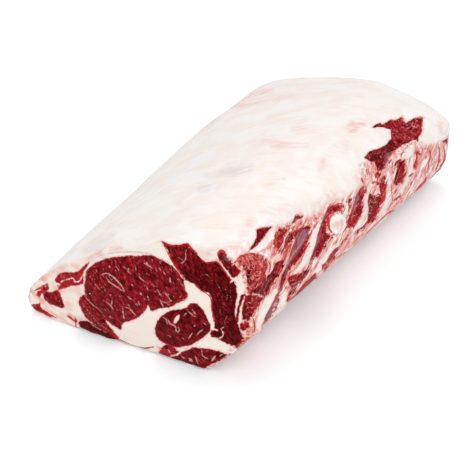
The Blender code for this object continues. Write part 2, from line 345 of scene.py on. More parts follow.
STRANDS: list[Stroke] = [
    Stroke(CUT, 2.5, [(394, 462), (412, 485), (436, 511), (468, 541), (505, 572), (535, 612)]),
    Stroke(CUT, 2, [(395, 520), (430, 570), (470, 620), (520, 665), (580, 700)]),
    Stroke(CUT, 2.5, [(405, 612), (440, 644), (470, 668), (510, 692), (550, 710)]),
    Stroke(CUT, 4, [(1050, 178), (1040, 205), (1042, 235), (1028, 262), (1002, 270)]),
    Stroke(CUT, 3, [(1075, 182), (1062, 170), (1050, 178)]),
    Stroke(CUT, 3, [(1028, 262), (1010, 240), (985, 235)]),
    Stroke(SIDE, 4, [(820, 350), (760, 420), (700, 510), (660, 590), (630, 650)]),
    Stroke(SIDE, 3, [(770, 400), (700, 490), (650, 600)]),
    Stroke(SIDE, 3, [(720, 360), (690, 420), (660, 500)]),
    Stroke(SIDE, 4, [(640, 290), (602, 340), (592, 410), (565, 455)]),
    Stroke(SIDE, 3, [(950, 210), (920, 300), (890, 380), (870, 460)]),
    Stroke(SIDE, 4, [(235, 960), (260, 940), (290, 950), (310, 935), (342, 945)]),
    Stroke(SIDE, 4, [(240, 1002), (270, 985), (300, 997), (340, 988)]),
    Stroke(SIDE, 3, [(250, 1042), (280, 1030), (312, 1046)]), Stroke(SIDE, 6, [(298, 908), (322, 926)]),
    Stroke(SIDE, 4, [(640, 765), (680, 742), (722, 742)]),
    Stroke(SIDE, 4, [(650, 802), (690, 780), (742, 758)]),
    Stroke(SIDE, 4, [(640, 862), (680, 830), (722, 798)]), Stroke(SIDE, 4, [(640, 902), (690, 860)]),
    Stroke(SIDE, 6, [(985, 602), (1000, 582), (975, 568)]), Stroke(SIDE, 6, [(955, 618), (975, 632)]),
    Stroke(SIDE, 4, [(1280, 60), (1250, 120), (1232, 200)]),
    Stroke(SIDE, 3, [(480, 720), (450, 800), (420, 850)]), Stroke(SIDE, 3, [(430, 760), (400, 830)]),
    Stroke(FAR, 4, [(740, 702), (770, 690), (800, 702), (850, 690), (872, 640)]),
    Stroke(FAR, 4, [(780, 742), (802, 782)]), Stroke(FAR, 3, [(700, 770), (722, 802)]),
    Stroke(FAR, 3, [(690, 650), (702, 692)]), Stroke(FAR, 4, [(905, 640), (880, 700), (850, 740)]),
    Stroke(FAR, 7, [(722, 1080), (705, 1110), (690, 1100)]), Stroke(FAR, 4, [(740, 1150), (725, 1200)]),
    Stroke(FAR, 5, [(935, 975), (928, 1000)]), Stroke(FAR, 4, [(760, 620), (800, 640), (780, 665)]),
    Stroke(MIDDLE, 3, [(1040, 730), (1060, 745), (1082, 738)]), Stroke(MIDDLE, 3, [(1030, 760), (1055, 775)]),
    Stroke(MIDDLE, 3, [(1050, 700), (1065, 715)]), Stroke(MIDDLE, 3, [(1020, 800), (1050, 815)]),
    Stroke(MIDDLE, 3, [(930, 780), (960, 760), (975, 740)]), Stroke(MIDDLE, 3, [(925, 830), (960, 815)]),
]

FLECKS: list[Stroke] = [Stroke(CUT, width, points) for width, points in (
    (5.5, [(515, 342), (545, 333), (570, 345), (598, 365), (625, 395), (648, 425), (656, 446)]),
    (5, [(540, 352), (560, 385), (590, 405), (620, 425), (650, 445)]),
    (4, [(560, 288), (572, 300)]), (3, [(600, 285), (612, 300), (626, 318)]),
    (3, [(648, 288), (668, 308), (690, 332)]), (4, [(680, 300), (688, 322)]),
    (3, [(700, 241), (716, 232)]), (3.5, [(724, 292), (729, 316)]),
    (3.5, [(742, 348), (765, 372), (792, 388)]), (5, [(776, 270), (805, 282), (830, 302)]),
    (6, [(797, 262), (800, 288)]), (3, [(830, 240), (836, 262)]), (3, [(884, 238), (889, 250)]),
    (6, [(941, 358), (946, 392)]), (4, [(984, 366), (1006, 377)]), (6, [(436, 460), (446, 462)]),
    (5, [(440, 350), (444, 356)]), (4, [(466, 290), (474, 296)]), (3, [(512, 420), (520, 424)]),
    (5, [(566, 466), (576, 472)]), (5, [(545, 513), (565, 530), (585, 556)]),
    (4, [(580, 502), (576, 532)]), (4, [(678, 478), (702, 498)]), (5.5, [(758, 450), (762, 472)]),
    (4, [(794, 418), (806, 442)]), (4, [(864, 434), (876, 456), (892, 478)]),
    (4.5, [(878, 492), (890, 520), (899, 545)]), (4, [(904, 444), (930, 478), (946, 500)]),
    (4, [(936, 512), (956, 500)]), (3.5, [(884, 504), (908, 515), (930, 522)]),
    (4, [(646, 545), (648, 575), (654, 606)]), (4, [(664, 544), (692, 556), (712, 580), (728, 596)]),
    (4, [(742, 506), (752, 530)]), (3, [(800, 470), (812, 502)]), (5, [(650, 600), (655, 618)]),
    (3, [(1000, 488), (1012, 472)]), (3, [(520, 300), (530, 316)]), (3, [(620, 470), (632, 482)]),
    (3, [(850, 300), (862, 318)]), (3, [(900, 320), (915, 340)]), (3, [(470, 400), (482, 412)]),
    (3, [(700, 400), (716, 416)]), (3, [(560, 600), (575, 612)]), (3, [(830, 400), (845, 420)]),
    (5, [(900, 610), (930, 628), (945, 650), (975, 668), (985, 698), (1002, 690), (992, 668)]),
    (4, [(918, 616), (928, 652)]), (4, [(1048, 562), (1072, 585), (1102, 606)]),
    (4, [(1080, 558), (1106, 592)]), (4, [(1028, 602), (1048, 578)]), (5, [(1058, 742), (1082, 708)]),
    (4, [(1108, 722), (1128, 700), (1152, 684)]), (6, [(1092, 658), (1100, 662)]),
    (3, [(1150, 640), (1170, 655)]), (3, [(930, 720), (950, 735)]), (3, [(1010, 735), (1030, 745)]),
    (1.4, [(1130, 355), (1155, 342), (1180, 345), (1215, 385)]), (1.2, [(1240, 400), (1262, 442)]),
    (1.2, [(1290, 430), (1302, 470), (1296, 500)]), (1.3, [(1320, 430), (1326, 522)]),
    (1.3, [(1270, 460), (1268, 500), (1292, 542)]), (1.2, [(1255, 560), (1262, 620)]),
    (1.6, [(1300, 600), (1285, 640), (1300, 665)]), (1.2, [(1270, 590), (1290, 602)]),
    (9, [(1062, 866), (1080, 884)]), (4, [(1140, 808), (1148, 850), (1182, 868)]),
    (8, [(1204, 882), (1226, 850)]), (4, [(1100, 850), (1120, 900)]), (5, [(1255, 850), (1270, 842)]),
    (5, [(930, 810), (945, 835)]), (4, [(1010, 850), (1040, 870)]),
)]

FILM: dict[str, Patch] = {
    "near membrane": Patch(SIDE, [
        (745, 290), (800, 260), (835, 275), (815, 350), (770, 440), (700, 550), (640, 660), (590, 780),
        (560, 870), (530, 850), (570, 700), (630, 570), (680, 430), (710, 340)], 1.0),
    "low membrane": Patch(SIDE, [
        (560, 870), (545, 940), (520, 1020), (480, 1080), (440, 1120), (430, 1090), (480, 980),
        (520, 890)], 0.8),
    "far membrane": Patch(SIDE, [
        (1010, 80), (1030, 100), (990, 170), (960, 260), (950, 350), (925, 430), (880, 520), (835, 590),
        (840, 560), (870, 450), (905, 330), (940, 220), (985, 120)], 0.9),
    "patch hem": Patch(FAR, [
        (600, 960), (700, 930), (740, 900), (680, 1000), (630, 1080), (590, 1140), (560, 1170),
        (590, 1060)], 0.8),
    "notch hem": Patch(SIDE, [(430, 300), (490, 240), (560, 200), (600, 190), (540, 240), (470, 290)], 0.5),
    "second notch hem": Patch(SIDE, [(700, 160), (760, 165), (700, 215), (660, 240), (650, 225)], 0.6),
    "middle film": Patch(MIDDLE, [
        (940, 690), (1005, 630), (1010, 650), (975, 720), (940, 800), (920, 800), (935, 740)], 0.7),
    "near cap corner": Patch(SIDE, [(0, 500), (70, 500), (140, 540), (90, 570), (40, 560)], 0.45),
}

BRIGHT_STREAKS: list[Stroke] = [
    Stroke(CUT, 6, [(92, 442), (130, 425), (168, 402)], 0.8), Stroke(CUT, 6, [(105, 474), (138, 456)], 0.8),
    Stroke(CUT, 7, [(62, 540), (100, 534), (132, 560)], 0.8), Stroke(CUT, 5, [(150, 588), (200, 612)], 0.8),
    Stroke(CUT, 5, [(300, 604), (326, 622), (352, 640)], 0.8),
    Stroke(CUT, 3.5, [(900, 160), (925, 200), (945, 245), (978, 298), (1010, 338), (1040, 378)], 0.75),
    Stroke(CUT, 3.5, [(1090, 402), (1130, 440), (1165, 458), (1196, 490), (1202, 560), (1215, 640)], 0.7),
    Stroke(CUT, 3.5, [(885, 135), (930, 154), (1000, 159), (1050, 150), (1078, 178), (1112, 216)], 0.75),
    Stroke(CUT, 3, [(1135, 250), (1165, 266), (1235, 264), (1275, 308), (1330, 384)], 0.65),
    Stroke(SIDE, 6, [(650, 400), (620, 470), (590, 540), (565, 600), (545, 680)], 0.75),
    Stroke(CUT, 4, [(345, 610), (352, 680)], 0.8), Stroke(CUT, 9, [(885, 808), (915, 818), (948, 840)], 0.9),
    Stroke(CUT, 9, [(1242, 205), (1262, 192), (1284, 202)], 0.8),
    Stroke(SIDE, 9, [(832, 395), (800, 440), (770, 480), (735, 530), (690, 600)], 0.4),
    Stroke(SIDE, 5, [(660, 230), (640, 240), (615, 245)], 0.8),
    Stroke(SIDE, 8, [(1000, 330), (985, 385), (955, 440), (920, 500), (905, 520)], 0.42),
    Stroke(SIDE, 5, [(1200, 60), (1190, 120), (1200, 170), (1185, 230), (1150, 280), (1120, 330)], 0.6),
    Stroke(SIDE, 9, [(1291, 20), (1260, 90), (1240, 170), (1225, 230)], 0.5),
    Stroke(SIDE, 8, [(300, 1080), (320, 1140), (318, 1220)], 1.0),
    Stroke(SIDE, 6, [(590, 1010), (540, 1060)], 0.8),
    Stroke(SIDE, 7, [(160, 1340), (220, 1300), (280, 1270)], 0.7),
    Stroke(FAR, 7, [(1130, 900), (1148, 960), (1142, 1030), (1128, 1100), (1105, 1160)], 0.55),
    Stroke(FAR, 6, [(1195, 900), (1205, 990), (1190, 1050), (1165, 1110), (1120, 1170), (1080, 1212)], 0.6),
    Stroke(FAR, 5, [(1240, 900), (1240, 950), (1222, 1000)], 0.6),
    Stroke(FAR, 7, [(1000, 1230), (975, 1280), (930, 1330), (885, 1390)], 0.7),
    Stroke(FAR, 5, [(1045, 930), (1045, 1010), (1030, 1090), (1012, 1170)], 0.9),
    Stroke(FAR, 4, [(1000, 990), (1000, 1040)], 0.9),
    Stroke(FAR, 5, [(820, 1222), (850, 1192), (872, 1180)], 0.4),
    Stroke(FAR, 6, [(742, 1035), (745, 990), (765, 965), (785, 965)], 0.6),
    Stroke(FAR, 7, [(440, 1290), (470, 1270), (520, 1290), (490, 1310)], 0.6),
    Stroke(FAR, 8, [(575, 1400), (570, 1450), (555, 1490)], 0.6),
    Stroke(FAR, 9, [(500, 1400), (540, 1420), (560, 1460)], 0.6),
    Stroke(FAR, 5, [(860, 1290), (845, 1310)], 0.8),
    Stroke(FAR, 5, [(770, 1460), (740, 1500)], 0.8),
    Stroke(MIDDLE, 4, [(1200, 770), (1160, 790), (1120, 815), (1085, 845), (1050, 880), (1000, 930)], 0.7),
    Stroke(MIDDLE, 4, [(870, 750), (840, 745), (810, 760)], 0.7),
    Stroke(CUT, 6, [(630, 752), (690, 784), (735, 798), (785, 804), (838, 796)], 0.8),
    Stroke(CUT, 5, [(350, 620), (356, 640)], 0.7),
    Stroke(CUT, 6, [(298, 600), (328, 618)], 0.7),
    Stroke(CUT, 4, [(140, 575), (200, 602), (228, 615)], 0.8),
    Stroke(CUT, 4, [(590, 715), (632, 775)], 0.8),
    Stroke(CUT, 5, [(1405, 740), (1440, 745), (1400, 780), (1375, 800)], 0.75),
    Stroke(FAR, 8, [(1205, 1040), (1182, 1078), (1150, 1112)], 0.4),
    Stroke(FAR, 5, [(1122, 1158), (1090, 1200)], 0.9),
    Stroke(FAR, 4, [(1060, 940), (1050, 990), (1056, 1040)], 0.9),
    Stroke(FAR, 7, [(1012, 1218), (986, 1268), (950, 1312)], 0.8),
    Stroke(FAR, 6, [(850, 1292), (872, 1270)], 0.9),
    Stroke(FAR, 8, [(448, 1292), (472, 1276)], 0.7), Stroke(FAR, 8, [(488, 1302), (512, 1284)], 0.7),
    Stroke(FAR, 4, [(640, 1300), (642, 1400)], 0.9), Stroke(FAR, 4, [(692, 1340), (680, 1400)], 0.9),
    Stroke(FAR, 5, [(660, 1420), (650, 1500)], 0.8),
    Stroke(FAR, 5, [(300, 1400), (340, 1350), (360, 1300)], 0.9),
    Stroke(SIDE, 5, [(848, 600), (822, 650), (790, 702), (758, 742), (720, 782)], 0.3),
    Stroke(SIDE, 5, [(862, 262), (876, 220)], 0.8),
    Stroke(SIDE, 5, [(440, 560), (462, 600), (450, 680)], 0.6),
    Stroke(SIDE, 6, [(115, 592), (150, 565), (172, 545)], 1.4),
    Stroke(SIDE, 10, [(1012, 140), (1004, 200), (1009, 262), (1036, 302)], 1.0),
    Stroke(SIDE, 6, [(1066, 318), (1022, 330)], 1.0), Stroke(SIDE, 6, [(1165, 215), (1180, 180)], 0.9),
    *(Stroke(SIDE, 7, points, 1.3) for points in (
        [(560, 292), (512, 298)], [(548, 322), (498, 330)], [(545, 352), (488, 372)],
        [(540, 382), (478, 412)], [(545, 410), (488, 446)], [(558, 432), (518, 470)],
        [(565, 452), (542, 496)], [(602, 278), (590, 248)], [(632, 282), (642, 252)],
        [(700, 282), (722, 250)], [(668, 292), (682, 258)], [(735, 278), (765, 250)],
        [(640, 420), (600, 480)], [(660, 400), (630, 450)])),
]

# Painted shade and dark lean: near-black strokes in the creases are painted shadow, such as the seam between
# the eye and the cap muscle and the top of the far patch under the cap's overhanging edge; the others are
# dark spots, clots and streaks and the tufts' dark cores.
SHADE_AND_DARK_LINES: list[Stroke] = [
    Stroke(CUT, 2.5, [(962, 282), (990, 315), (1012, 345), (1030, 378)], 0.1),
    Stroke(CUT, 5, [(510, 628), (532, 636)], 0.0), Stroke(CUT, 8, [(1222, 852), (1246, 838)], 0.0),
    Stroke(CUT, 5, [(912, 792), (924, 802)], 0.05), Stroke(CUT, 4, [(440, 470), (470, 545), (530, 600)], 0.2),
    Stroke(SIDE, 6, [(942, 200), (925, 262), (900, 332)], 0.05),
    Stroke(SIDE, 7, [(255, 640), (268, 720), (280, 800)], 0.15),
    Stroke(SIDE, 5, [(430, 560), (436, 640)], 0.2),
    Stroke(SIDE, 6, [(410, 1100), (440, 1050), (470, 990)], 0.1),
    Stroke(SIDE, 5, [(560, 560), (610, 552)], 0.1),
    Stroke(SIDE, 5, [(700, 540), (670, 590), (650, 650)], 0.25),
    Stroke(SIDE, 25, [(592, 282), (568, 325), (560, 385), (552, 440)], 0.5),
    Stroke(SIDE, 13, [(672, 540), (642, 610), (612, 690), (580, 770), (562, 830)], 0.34),
    Stroke(SIDE, 10, [(645, 560), (618, 625), (592, 700)], 0.4),
    Stroke(FAR, 8, [(448, 708), (482, 680), (520, 662)], 0.0),
    Stroke(FAR, 7, [(590, 895), (640, 862), (700, 880)], 0.1),
    Stroke(FAR, 9, [(385, 1005), (415, 962), (455, 945)], 0.05),
    Stroke(FAR, 8, [(480, 1085), (512, 1140)], 0.05), Stroke(FAR, 6, [(608, 1090), (640, 1042)], 0.15),
    Stroke(FAR, 9, [(700, 1180), (735, 1175)], 0.05), Stroke(FAR, 7, [(830, 1222), (870, 1185)], 0.1),
    Stroke(FAR, 6, [(640, 850), (700, 830), (760, 840)], 0.15),
    Stroke(FAR, 7, [(918, 800), (925, 850)], 0.1),
]

# Pink blushes in the fat; the wide strokes over the torn lump also place its painted sheen.
BLUSHES_AND_SHEEN: list[Stroke] = [
    Stroke(MIDDLE, 9, [(380, 360), (450, 368), (540, 385), (640, 402)], 0.35),
    Stroke(MIDDLE, 7, [(440, 400), (540, 400), (650, 392)], 0.4),
    Stroke(MIDDLE, 9, [(560, 300), (620, 296), (700, 292)], 0.35),
    Stroke(MIDDLE, 12, [(890, 285), (930, 262), (985, 262)], 0.6),
    Stroke(MIDDLE, 8, [(910, 315), (950, 280)], 0.6),
    Stroke(MIDDLE, 7, [(400, 630), (450, 612), (510, 592)], 0.4),
    Stroke(MIDDLE, 8, [(725, 535), (740, 510), (745, 475)], 0.4),
    Stroke(MIDDLE, 9, [(285, 890), (298, 850)], 0.45),
    Stroke(MIDDLE, 9, [(270, 110), (340, 85), (430, 62)], 0.55),
    Stroke(MIDDLE, 8, [(190, 165), (280, 140), (390, 118)], 0.45),
    Stroke(MIDDLE, 8, [(390, 120), (480, 105), (560, 92)], 0.35),
    Stroke(MIDDLE, 8, [(0, 300), (60, 265), (110, 230)], 0.4),
    Stroke(MIDDLE, 30, [(760, 460), (860, 400), (900, 340)], 0.2),
    Stroke(MIDDLE, 26, [(700, 760), (800, 700), (880, 690)], 0.35),
    Stroke(MIDDLE, 30, [(380, 800), (500, 780), (600, 790)], 0.25),
    Stroke(MIDDLE, 24, [(60, 1030), (170, 1050), (280, 1010)], 0.25),
    Stroke(MIDDLE, 26, [(940, 560), (980, 620), (960, 660)], 0.35),
    Stroke(MIDDLE, 20, [(1000, 500), (1040, 540), (1060, 600)], 0.35),
    Stroke(SIDE, 24, [(300, 1110), (320, 1170), (305, 1240)], 0.8),
    Stroke(SIDE, 14, [(440, 560), (482, 520), (500, 500)], 0.8),
    Stroke(SIDE, 16, [(160, 480), (260, 470), (330, 480)], 0.6),
    Stroke(CUT, 12, [(150, 560), (230, 592), (330, 642), (400, 655)], 0.6),
    Stroke(CUT, 14, [(290, 440), (350, 430), (382, 470)], 0.4),
    Stroke(CUT, 14, [(310, 600), (350, 640), (375, 652)], 0.9),
    Stroke(CUT, 14, [(290, 520), (322, 562)], 0.5),
    Stroke(CUT, 16, [(60, 480), (90, 440), (125, 395)], 0.9),
    Stroke(CUT, 10, [(48, 540), (80, 590), (120, 605)], 0.7),
    Stroke(CUT, 14, [(880, 802), (900, 830), (950, 850)], 1.0),
    Stroke(CUT, 10, [(210, 415), (240, 440), (300, 430)], 0.5),
    Stroke(CUT, 9, [(1390, 742), (1432, 735)], 0.7),
    Stroke(CUT, 22, [(1120, 200), (1180, 235), (1230, 225)], 0.35),
    Stroke(FAR, 30, [(1150, 640), (1180, 740), (1230, 790)], 0.35),
    Stroke(FAR, 26, [(1000, 900), (1060, 950), (1100, 1060)], 0.5),
    Stroke(SIDE, 30, [(800, 180), (880, 120), (960, 60)], 0.55),
    Stroke(SIDE, 40, [(200, 330), (250, 240), (300, 200)], 0.25),
    Stroke(SIDE, 26, [(60, 430), (160, 430), (260, 400)], 0.45),
    Stroke(SIDE, 14, [(1005, 300), (1000, 230), (1012, 160), (1050, 128)], 0.9, 2.0),
    Stroke(SIDE, 60, [(1070, 180), (1100, 260)], 0.6, 2.0),
    Stroke(CUT, 8, [(420, 250), (480, 215), (560, 185), (640, 172)], 0.6, 3.0),
    Stroke(CUT, 12, [(170, 360), (240, 310), (330, 298), (400, 272)], 0.55),
    Stroke(CUT, 14, [(45, 500), (70, 455), (105, 400), (150, 365)], 1.0, 6.0),
    Stroke(CUT, 12, [(120, 480), (150, 520), (200, 560)], 0.8),
    Stroke(CUT, 10, [(205, 400), (240, 440), (300, 470)], 0.6),
    Stroke(SIDE, 70, [(200, 560), (300, 540), (380, 580)], 0.95),
    Stroke(SIDE, 40, [(330, 640), (350, 740)], 0.6),
    Stroke(SIDE, 26, [(270, 850), (320, 810)], 0.9),
    Stroke(SIDE, 30, [(640, 400), (590, 520), (550, 640)], 0.8),
]

# Grey smudges on the fat; the thin line just above the eye, at the crease under the cap, is painted shade.
SMUDGES_AND_SHADE_LINE: list[Stroke] = [
    Stroke(MIDDLE, 22, [(120, 555), (200, 548), (300, 535)], 0.36),
    Stroke(MIDDLE, 14, [(170, 520), (250, 525), (320, 512)], 0.28),
    Stroke(MIDDLE, 14, [(0, 660), (60, 655), (110, 640)], 0.3),
    Stroke(MIDDLE, 10, [(30, 575), (90, 572), (160, 560)], 0.22),
    Stroke(WHOLE, 5, [(85, 252), (100, 244), (112, 236)], 0.3),
    Stroke(WHOLE, 4, [(93, 246), (104, 258)], 0.3),
    Stroke(WHOLE, 6, [(288, 216), (302, 208), (312, 205)], 0.12),
    Stroke(WHOLE, 5, [(258, 236), (270, 226), (280, 222)], 0.3),
    # Painted shade: the grey line along the crease above the eye.
    Stroke(CUT, 3, [
        (440, 262), (500, 226), (590, 206), (700, 199), (800, 208), (870, 230), (940, 268)], 1.0, 0.7),
    Stroke(CUT, 12, [(385, 605), (402, 655)], 0.7),
    Stroke(CUT, 10, [(1190, 208), (1240, 192), (1282, 186)], 0.5),
]

TRIMMED = Patch(WHOLE, [
    (214, 262), (226, 256), (236, 262), (248, 262), (258, 250), (262, 235), (272, 228), (285, 225),
    (292, 222), (300, 214), (310, 219), (322, 212), (328, 203), (345, 198), (355, 192), (364, 184),
    (362, 172), (360, 165), (372, 160), (385, 152), (400, 142), (415, 141), (428, 146), (440, 142),
    (452, 136), (480, 134), (480, 200), (240, 390), (196, 380), (235, 345), (243, 320), (247, 290),
    (236, 272)], edge=Edge.JAGGED)

FAT_OVAL = Patch(SIDE, [
    (1012, 230), (1022, 170), (1060, 138), (1110, 128), (1150, 148), (1168, 200), (1152, 262), (1112, 300),
    (1060, 305), (1022, 282)])

SMOOTH_BANDS: list[Stroke] = [
    Stroke(SIDE, 22, [(905, 235), (880, 340), (860, 430), (815, 530), (760, 600), (690, 670)], 0.9),
    Stroke(SIDE, 26, [(1090, 410), (1020, 470), (960, 560), (900, 640), (860, 680)], 0.8),
    Stroke(SIDE, 34, [(515, 835), (440, 950), (390, 1060), (350, 1180)], 0.85),
    Stroke(SIDE, 40, [(505, 270), (440, 350), (370, 430), (300, 480)], 0.8),
    Stroke(SIDE, 34, [(450, 520), (500, 540), (560, 520)], 0.5),
    Stroke(SIDE, 20, [(150, 640), (190, 720), (180, 850), (150, 1000)], 0.8),
    Stroke(SIDE, 24, [(600, 850), (590, 900), (560, 990), (500, 1080), (420, 1180)], 0.7),
    Stroke(MIDDLE, 13, [(1015, 640), (1010, 720), (990, 800), (960, 870), (930, 905)], 0.7),
    Stroke(MIDDLE, 14, [(1140, 600), (1130, 700), (1110, 780), (1080, 850), (1020, 905)], 0.6),
    Stroke(FAR, 40, [(860, 900), (810, 980), (740, 1010)], 0.8),
    Stroke(FAR, 24, [(850, 1040), (840, 1160), (810, 1260), (760, 1330)], 0.7),
    Stroke(FAR, 26, [(1010, 720), (1020, 800), (980, 900)], 0.7),
]

FAR_CUT_LEAN: dict[str, Patch] = {
    "eye": Patch(PLAN, [
        (-22, 38), (-17, 50), (-2, 60), (14, 66), (30, 67), (44, 69), (58, 65), (70, 60), (80, 53), (89, 42),
        (90, 32), (84, 24), (72, 17), (56, 15), (50, 20), (43, 13), (22, 12), (6, 15), (-6, 17),
        (-18, 26)], 0.52),
    "side muscle": Patch(PLAN, [
        (-97, 13), (-88, 27), (-76, 33), (-66, 41), (-50, 47), (-38, 43), (-32, 33), (-35, 22), (-46, 15),
        (-56, 10), (-72, 12), (-82, 8)], 0.45),
    "cap muscle": Patch(PLAN, [
        (-40, 56), (-24, 66), (0, 75), (22, 81), (48, 82), (72, 77), (90, 66), (101, 52), (105, 36),
        (98, 32), (95, 46), (84, 58), (70, 66), (56, 71), (40, 75), (14, 73), (-8, 67), (-28, 58)], 0.3,
        edge=Edge.JAGGED),
    "deep strip": Patch(PLAN, [
        (62, 11), (80, 14), (94, 22), (100, 15), (88, 9), (70, 8)], 0.4, edge=Edge.JAGGED),
    "tip muscle": Patch(PLAN, [(-114, 10), (-106, 22), (-98, 20), (-104, 8)], 0.6, edge=Edge.JAGGED),
}

FAR_CUT_FLECKS: list[Stroke] = [Stroke(PLAN, width, points) for width, points in (
    (0.9, [(-2, 42), (6, 49), (16, 50), (24, 45)]), (0.7, [(6, 49), (10, 41), (18, 40)]),
    (0.6, [(20, 60), (25, 54)]), (0.8, [(33, 38), (40, 45), (47, 43)]), (0.6, [(52, 60), (58, 54)]),
    (0.6, [(66, 46), (71, 39)]), (0.7, [(20, 29), (28, 25), (35, 30)]), (0.6, [(46, 30), (52, 26), (58, 30)]),
    (0.6, [(64, 25), (70, 29)]), (0.5, [(8, 25), (12, 32)]), (0.6, [(38, 60), (44, 56)]),
    (0.7, [(76, 50), (81, 42), (80, 36)]), (0.5, [(-12, 37), (-6, 32)]), (0.6, [(52, 40), (58, 46)]),
    (0.6, [(28, 52), (32, 47)]), (0.7, [(-84, 22), (-76, 27), (-70, 24)]), (0.6, [(-62, 24), (-57, 32)]),
    (0.8, [(-50, 40), (-46, 33), (-48, 27)]), (0.5, [(82, 68), (91, 58)]), (0.5, [(16, 77), (32, 79)]),
    (0.5, [(52, 77), (60, 76)]), (0.5, [(100, 46), (101, 40)]),
)]


def smooth_step(values: np.ndarray, low: float, high: float) -> np.ndarray:
    """0 below low, 1 above high, and a soft rise between."""
    share = np.clip((values - low) / (high - low), 0.0, 1.0)
    return share * share * (3 - 2 * share)


def lattice_noise(points: np.ndarray, size: float, seed: int) -> np.ndarray:
    """Soft bumps at random.

    Args:
        points: Places in millimetres, one a row.
        size: How far apart the bumps are, in millimetres.
        seed: Which of the random patterns.

    Returns:
        A value from -1 to 1 for each point.
    """
    table = np.random.default_rng(seed).uniform(-1, 1, 4096)
    place = points / size
    cell = np.floor(place).astype(np.int64)
    share = place - cell
    share = share * share * (3 - 2 * share)
    total = np.zeros(len(points))
    for corner in np.ndindex(2, 2, 2):
        at = cell + corner
        key = (at[:, 0] * 73856093) ^ (at[:, 1] * 19349663) ^ (at[:, 2] * 83492791)
        weight = np.prod(np.where(corner, share, 1 - share), axis=1)
        total += weight * table[(key ^ (key >> 13)) & 4095]
    return total


def rounded(points: np.ndarray, steps: int, closed: bool) -> np.ndarray:
    """Puts more points on the smooth curve through those given.

    Args:
        points: The curve's own points, one a row.
        steps: How many pieces each stretch is cut in.
        closed: Whether the last point joins the first.

    Returns:
        All the curve's points, one a row.
    """
    if closed:
        near = [np.roll(points, shift, axis=0) for shift in (1, 0, -1, -2)]
    else:
        ends = np.concatenate((points[:1], points, points[-1:]))
        near = [ends[start : start + len(points) - 1] for start in range(3)]
        near.append(np.concatenate((ends[3:], ends[-1:]))[: len(points) - 1])
    before, start, end, after = near
    curve = []
    for step in range(steps):
        t = step / steps
        curve.append((
            start * (2 - 5 * t**2 + 3 * t**3)
            + end * (t + 4 * t**2 - 3 * t**3)
            + before * (2 * t**2 - t - t**3)
            + after * (t**3 - t**2)
        ) / 2)
    curve = np.stack(curve, axis=1).reshape(-1, 2)
    return curve if closed else np.concatenate((curve, points[-1:]))


def gap_to_line(spots: np.ndarray, line: np.ndarray) -> tuple[np.ndarray, np.ndarray]:
    """Measures how far spots are from a line of points.

    Args:
        spots: Places in the plane, one a row.
        line: The line's points, one a row.

    Returns:
        Each spot's distance, and its share of the way along the line.
    """
    best = np.full(len(spots), 1e9)
    share = np.zeros(len(spots))
    lengths = np.linalg.norm(np.diff(line, axis=0), axis=1)
    starts = np.concatenate(((0.0,), np.cumsum(lengths)[:-1]))
    for index, (start, end) in enumerate(zip(line, line[1:])):
        way = end - start
        part = np.clip((spots - start) @ way / max(way @ way, 1e-12), 0, 1)
        gap = np.linalg.norm(spots - start - part[:, None] * way, axis=1)
        nearer = gap < best
        best = np.where(nearer, gap, best)
        share = np.where(nearer, (starts[index] + part * lengths[index]) / lengths.sum(), share)
    return best, share


def is_inside(spots: np.ndarray, outline: np.ndarray) -> np.ndarray:
    """Tells which spots lie inside a closed outline.

    Args:
        spots: Places in the plane, one a row.
        outline: The outline's points, one a row.

    Returns:
        True for each spot that does.
    """
    inside = np.zeros(len(spots), bool)
    for (x1, y1), (x2, y2) in zip(outline, np.roll(outline, -1, axis=0)):
        crosses = (y1 > spots[:, 1]) != (y2 > spots[:, 1])
        at = x1 + (spots[:, 1] - y1) * (x2 - x1) / ((y2 - y1) or 1e-12)
        inside ^= crosses & (spots[:, 0] < at)
    return inside


@dataclass
class Sheet:
    """A flat drawing surface: where every point of the meat falls on it, and how marks measure there."""

    spots: np.ndarray
    scale: float  # millimetres for one of its units

    def near(self, points: np.ndarray, margin: float) -> np.ndarray:
        """The numbers of the spots that a mark can reach."""
        low, high = points.min(axis=0) - margin, points.max(axis=0) + margin
        return np.flatnonzero(((self.spots > low) & (self.spots < high)).all(axis=1))

    def patch(self, mark: Patch) -> np.ndarray:
        """Measures how deep in a patch each spot lies.

        Args:
            mark: The patch.

        Returns:
            The signed distance to its border in millimetres, above 0 inside.
        """
        points = rounded(mark.ruler.to_picture(mark.points), mark.edge.value, True)
        reach = self.near(points, -OUTSIDE / self.scale)
        distance = np.full(len(self.spots), OUTSIDE)
        gap, _ = gap_to_line(self.spots[reach], np.concatenate((points, points[:1])))
        sign = np.where(is_inside(self.spots[reach], points), 1.0, -1.0)
        distance[reach] = np.maximum(gap * sign * self.scale, OUTSIDE)
        return distance

    def stroke(self, mark: Stroke) -> np.ndarray:
        """Measures how deep in a stroke each spot lies.

        Args:
            mark: The stroke.

        Returns:
            The signed distance to its border in millimetres, above 0 inside.
        """
        points = rounded(mark.ruler.to_picture(mark.points), 3, False)
        reach = self.near(points, -OUTSIDE / self.scale)
        distance = np.full(len(self.spots), OUTSIDE)
        gap, share = gap_to_line(self.spots[reach], points)
        half = mark.width / mark.ruler.zoom * (0.45 + 0.55 * np.sin(np.pi * share))
        distance[reach] = np.maximum((half - gap) * self.scale, OUTSIDE)
        return distance


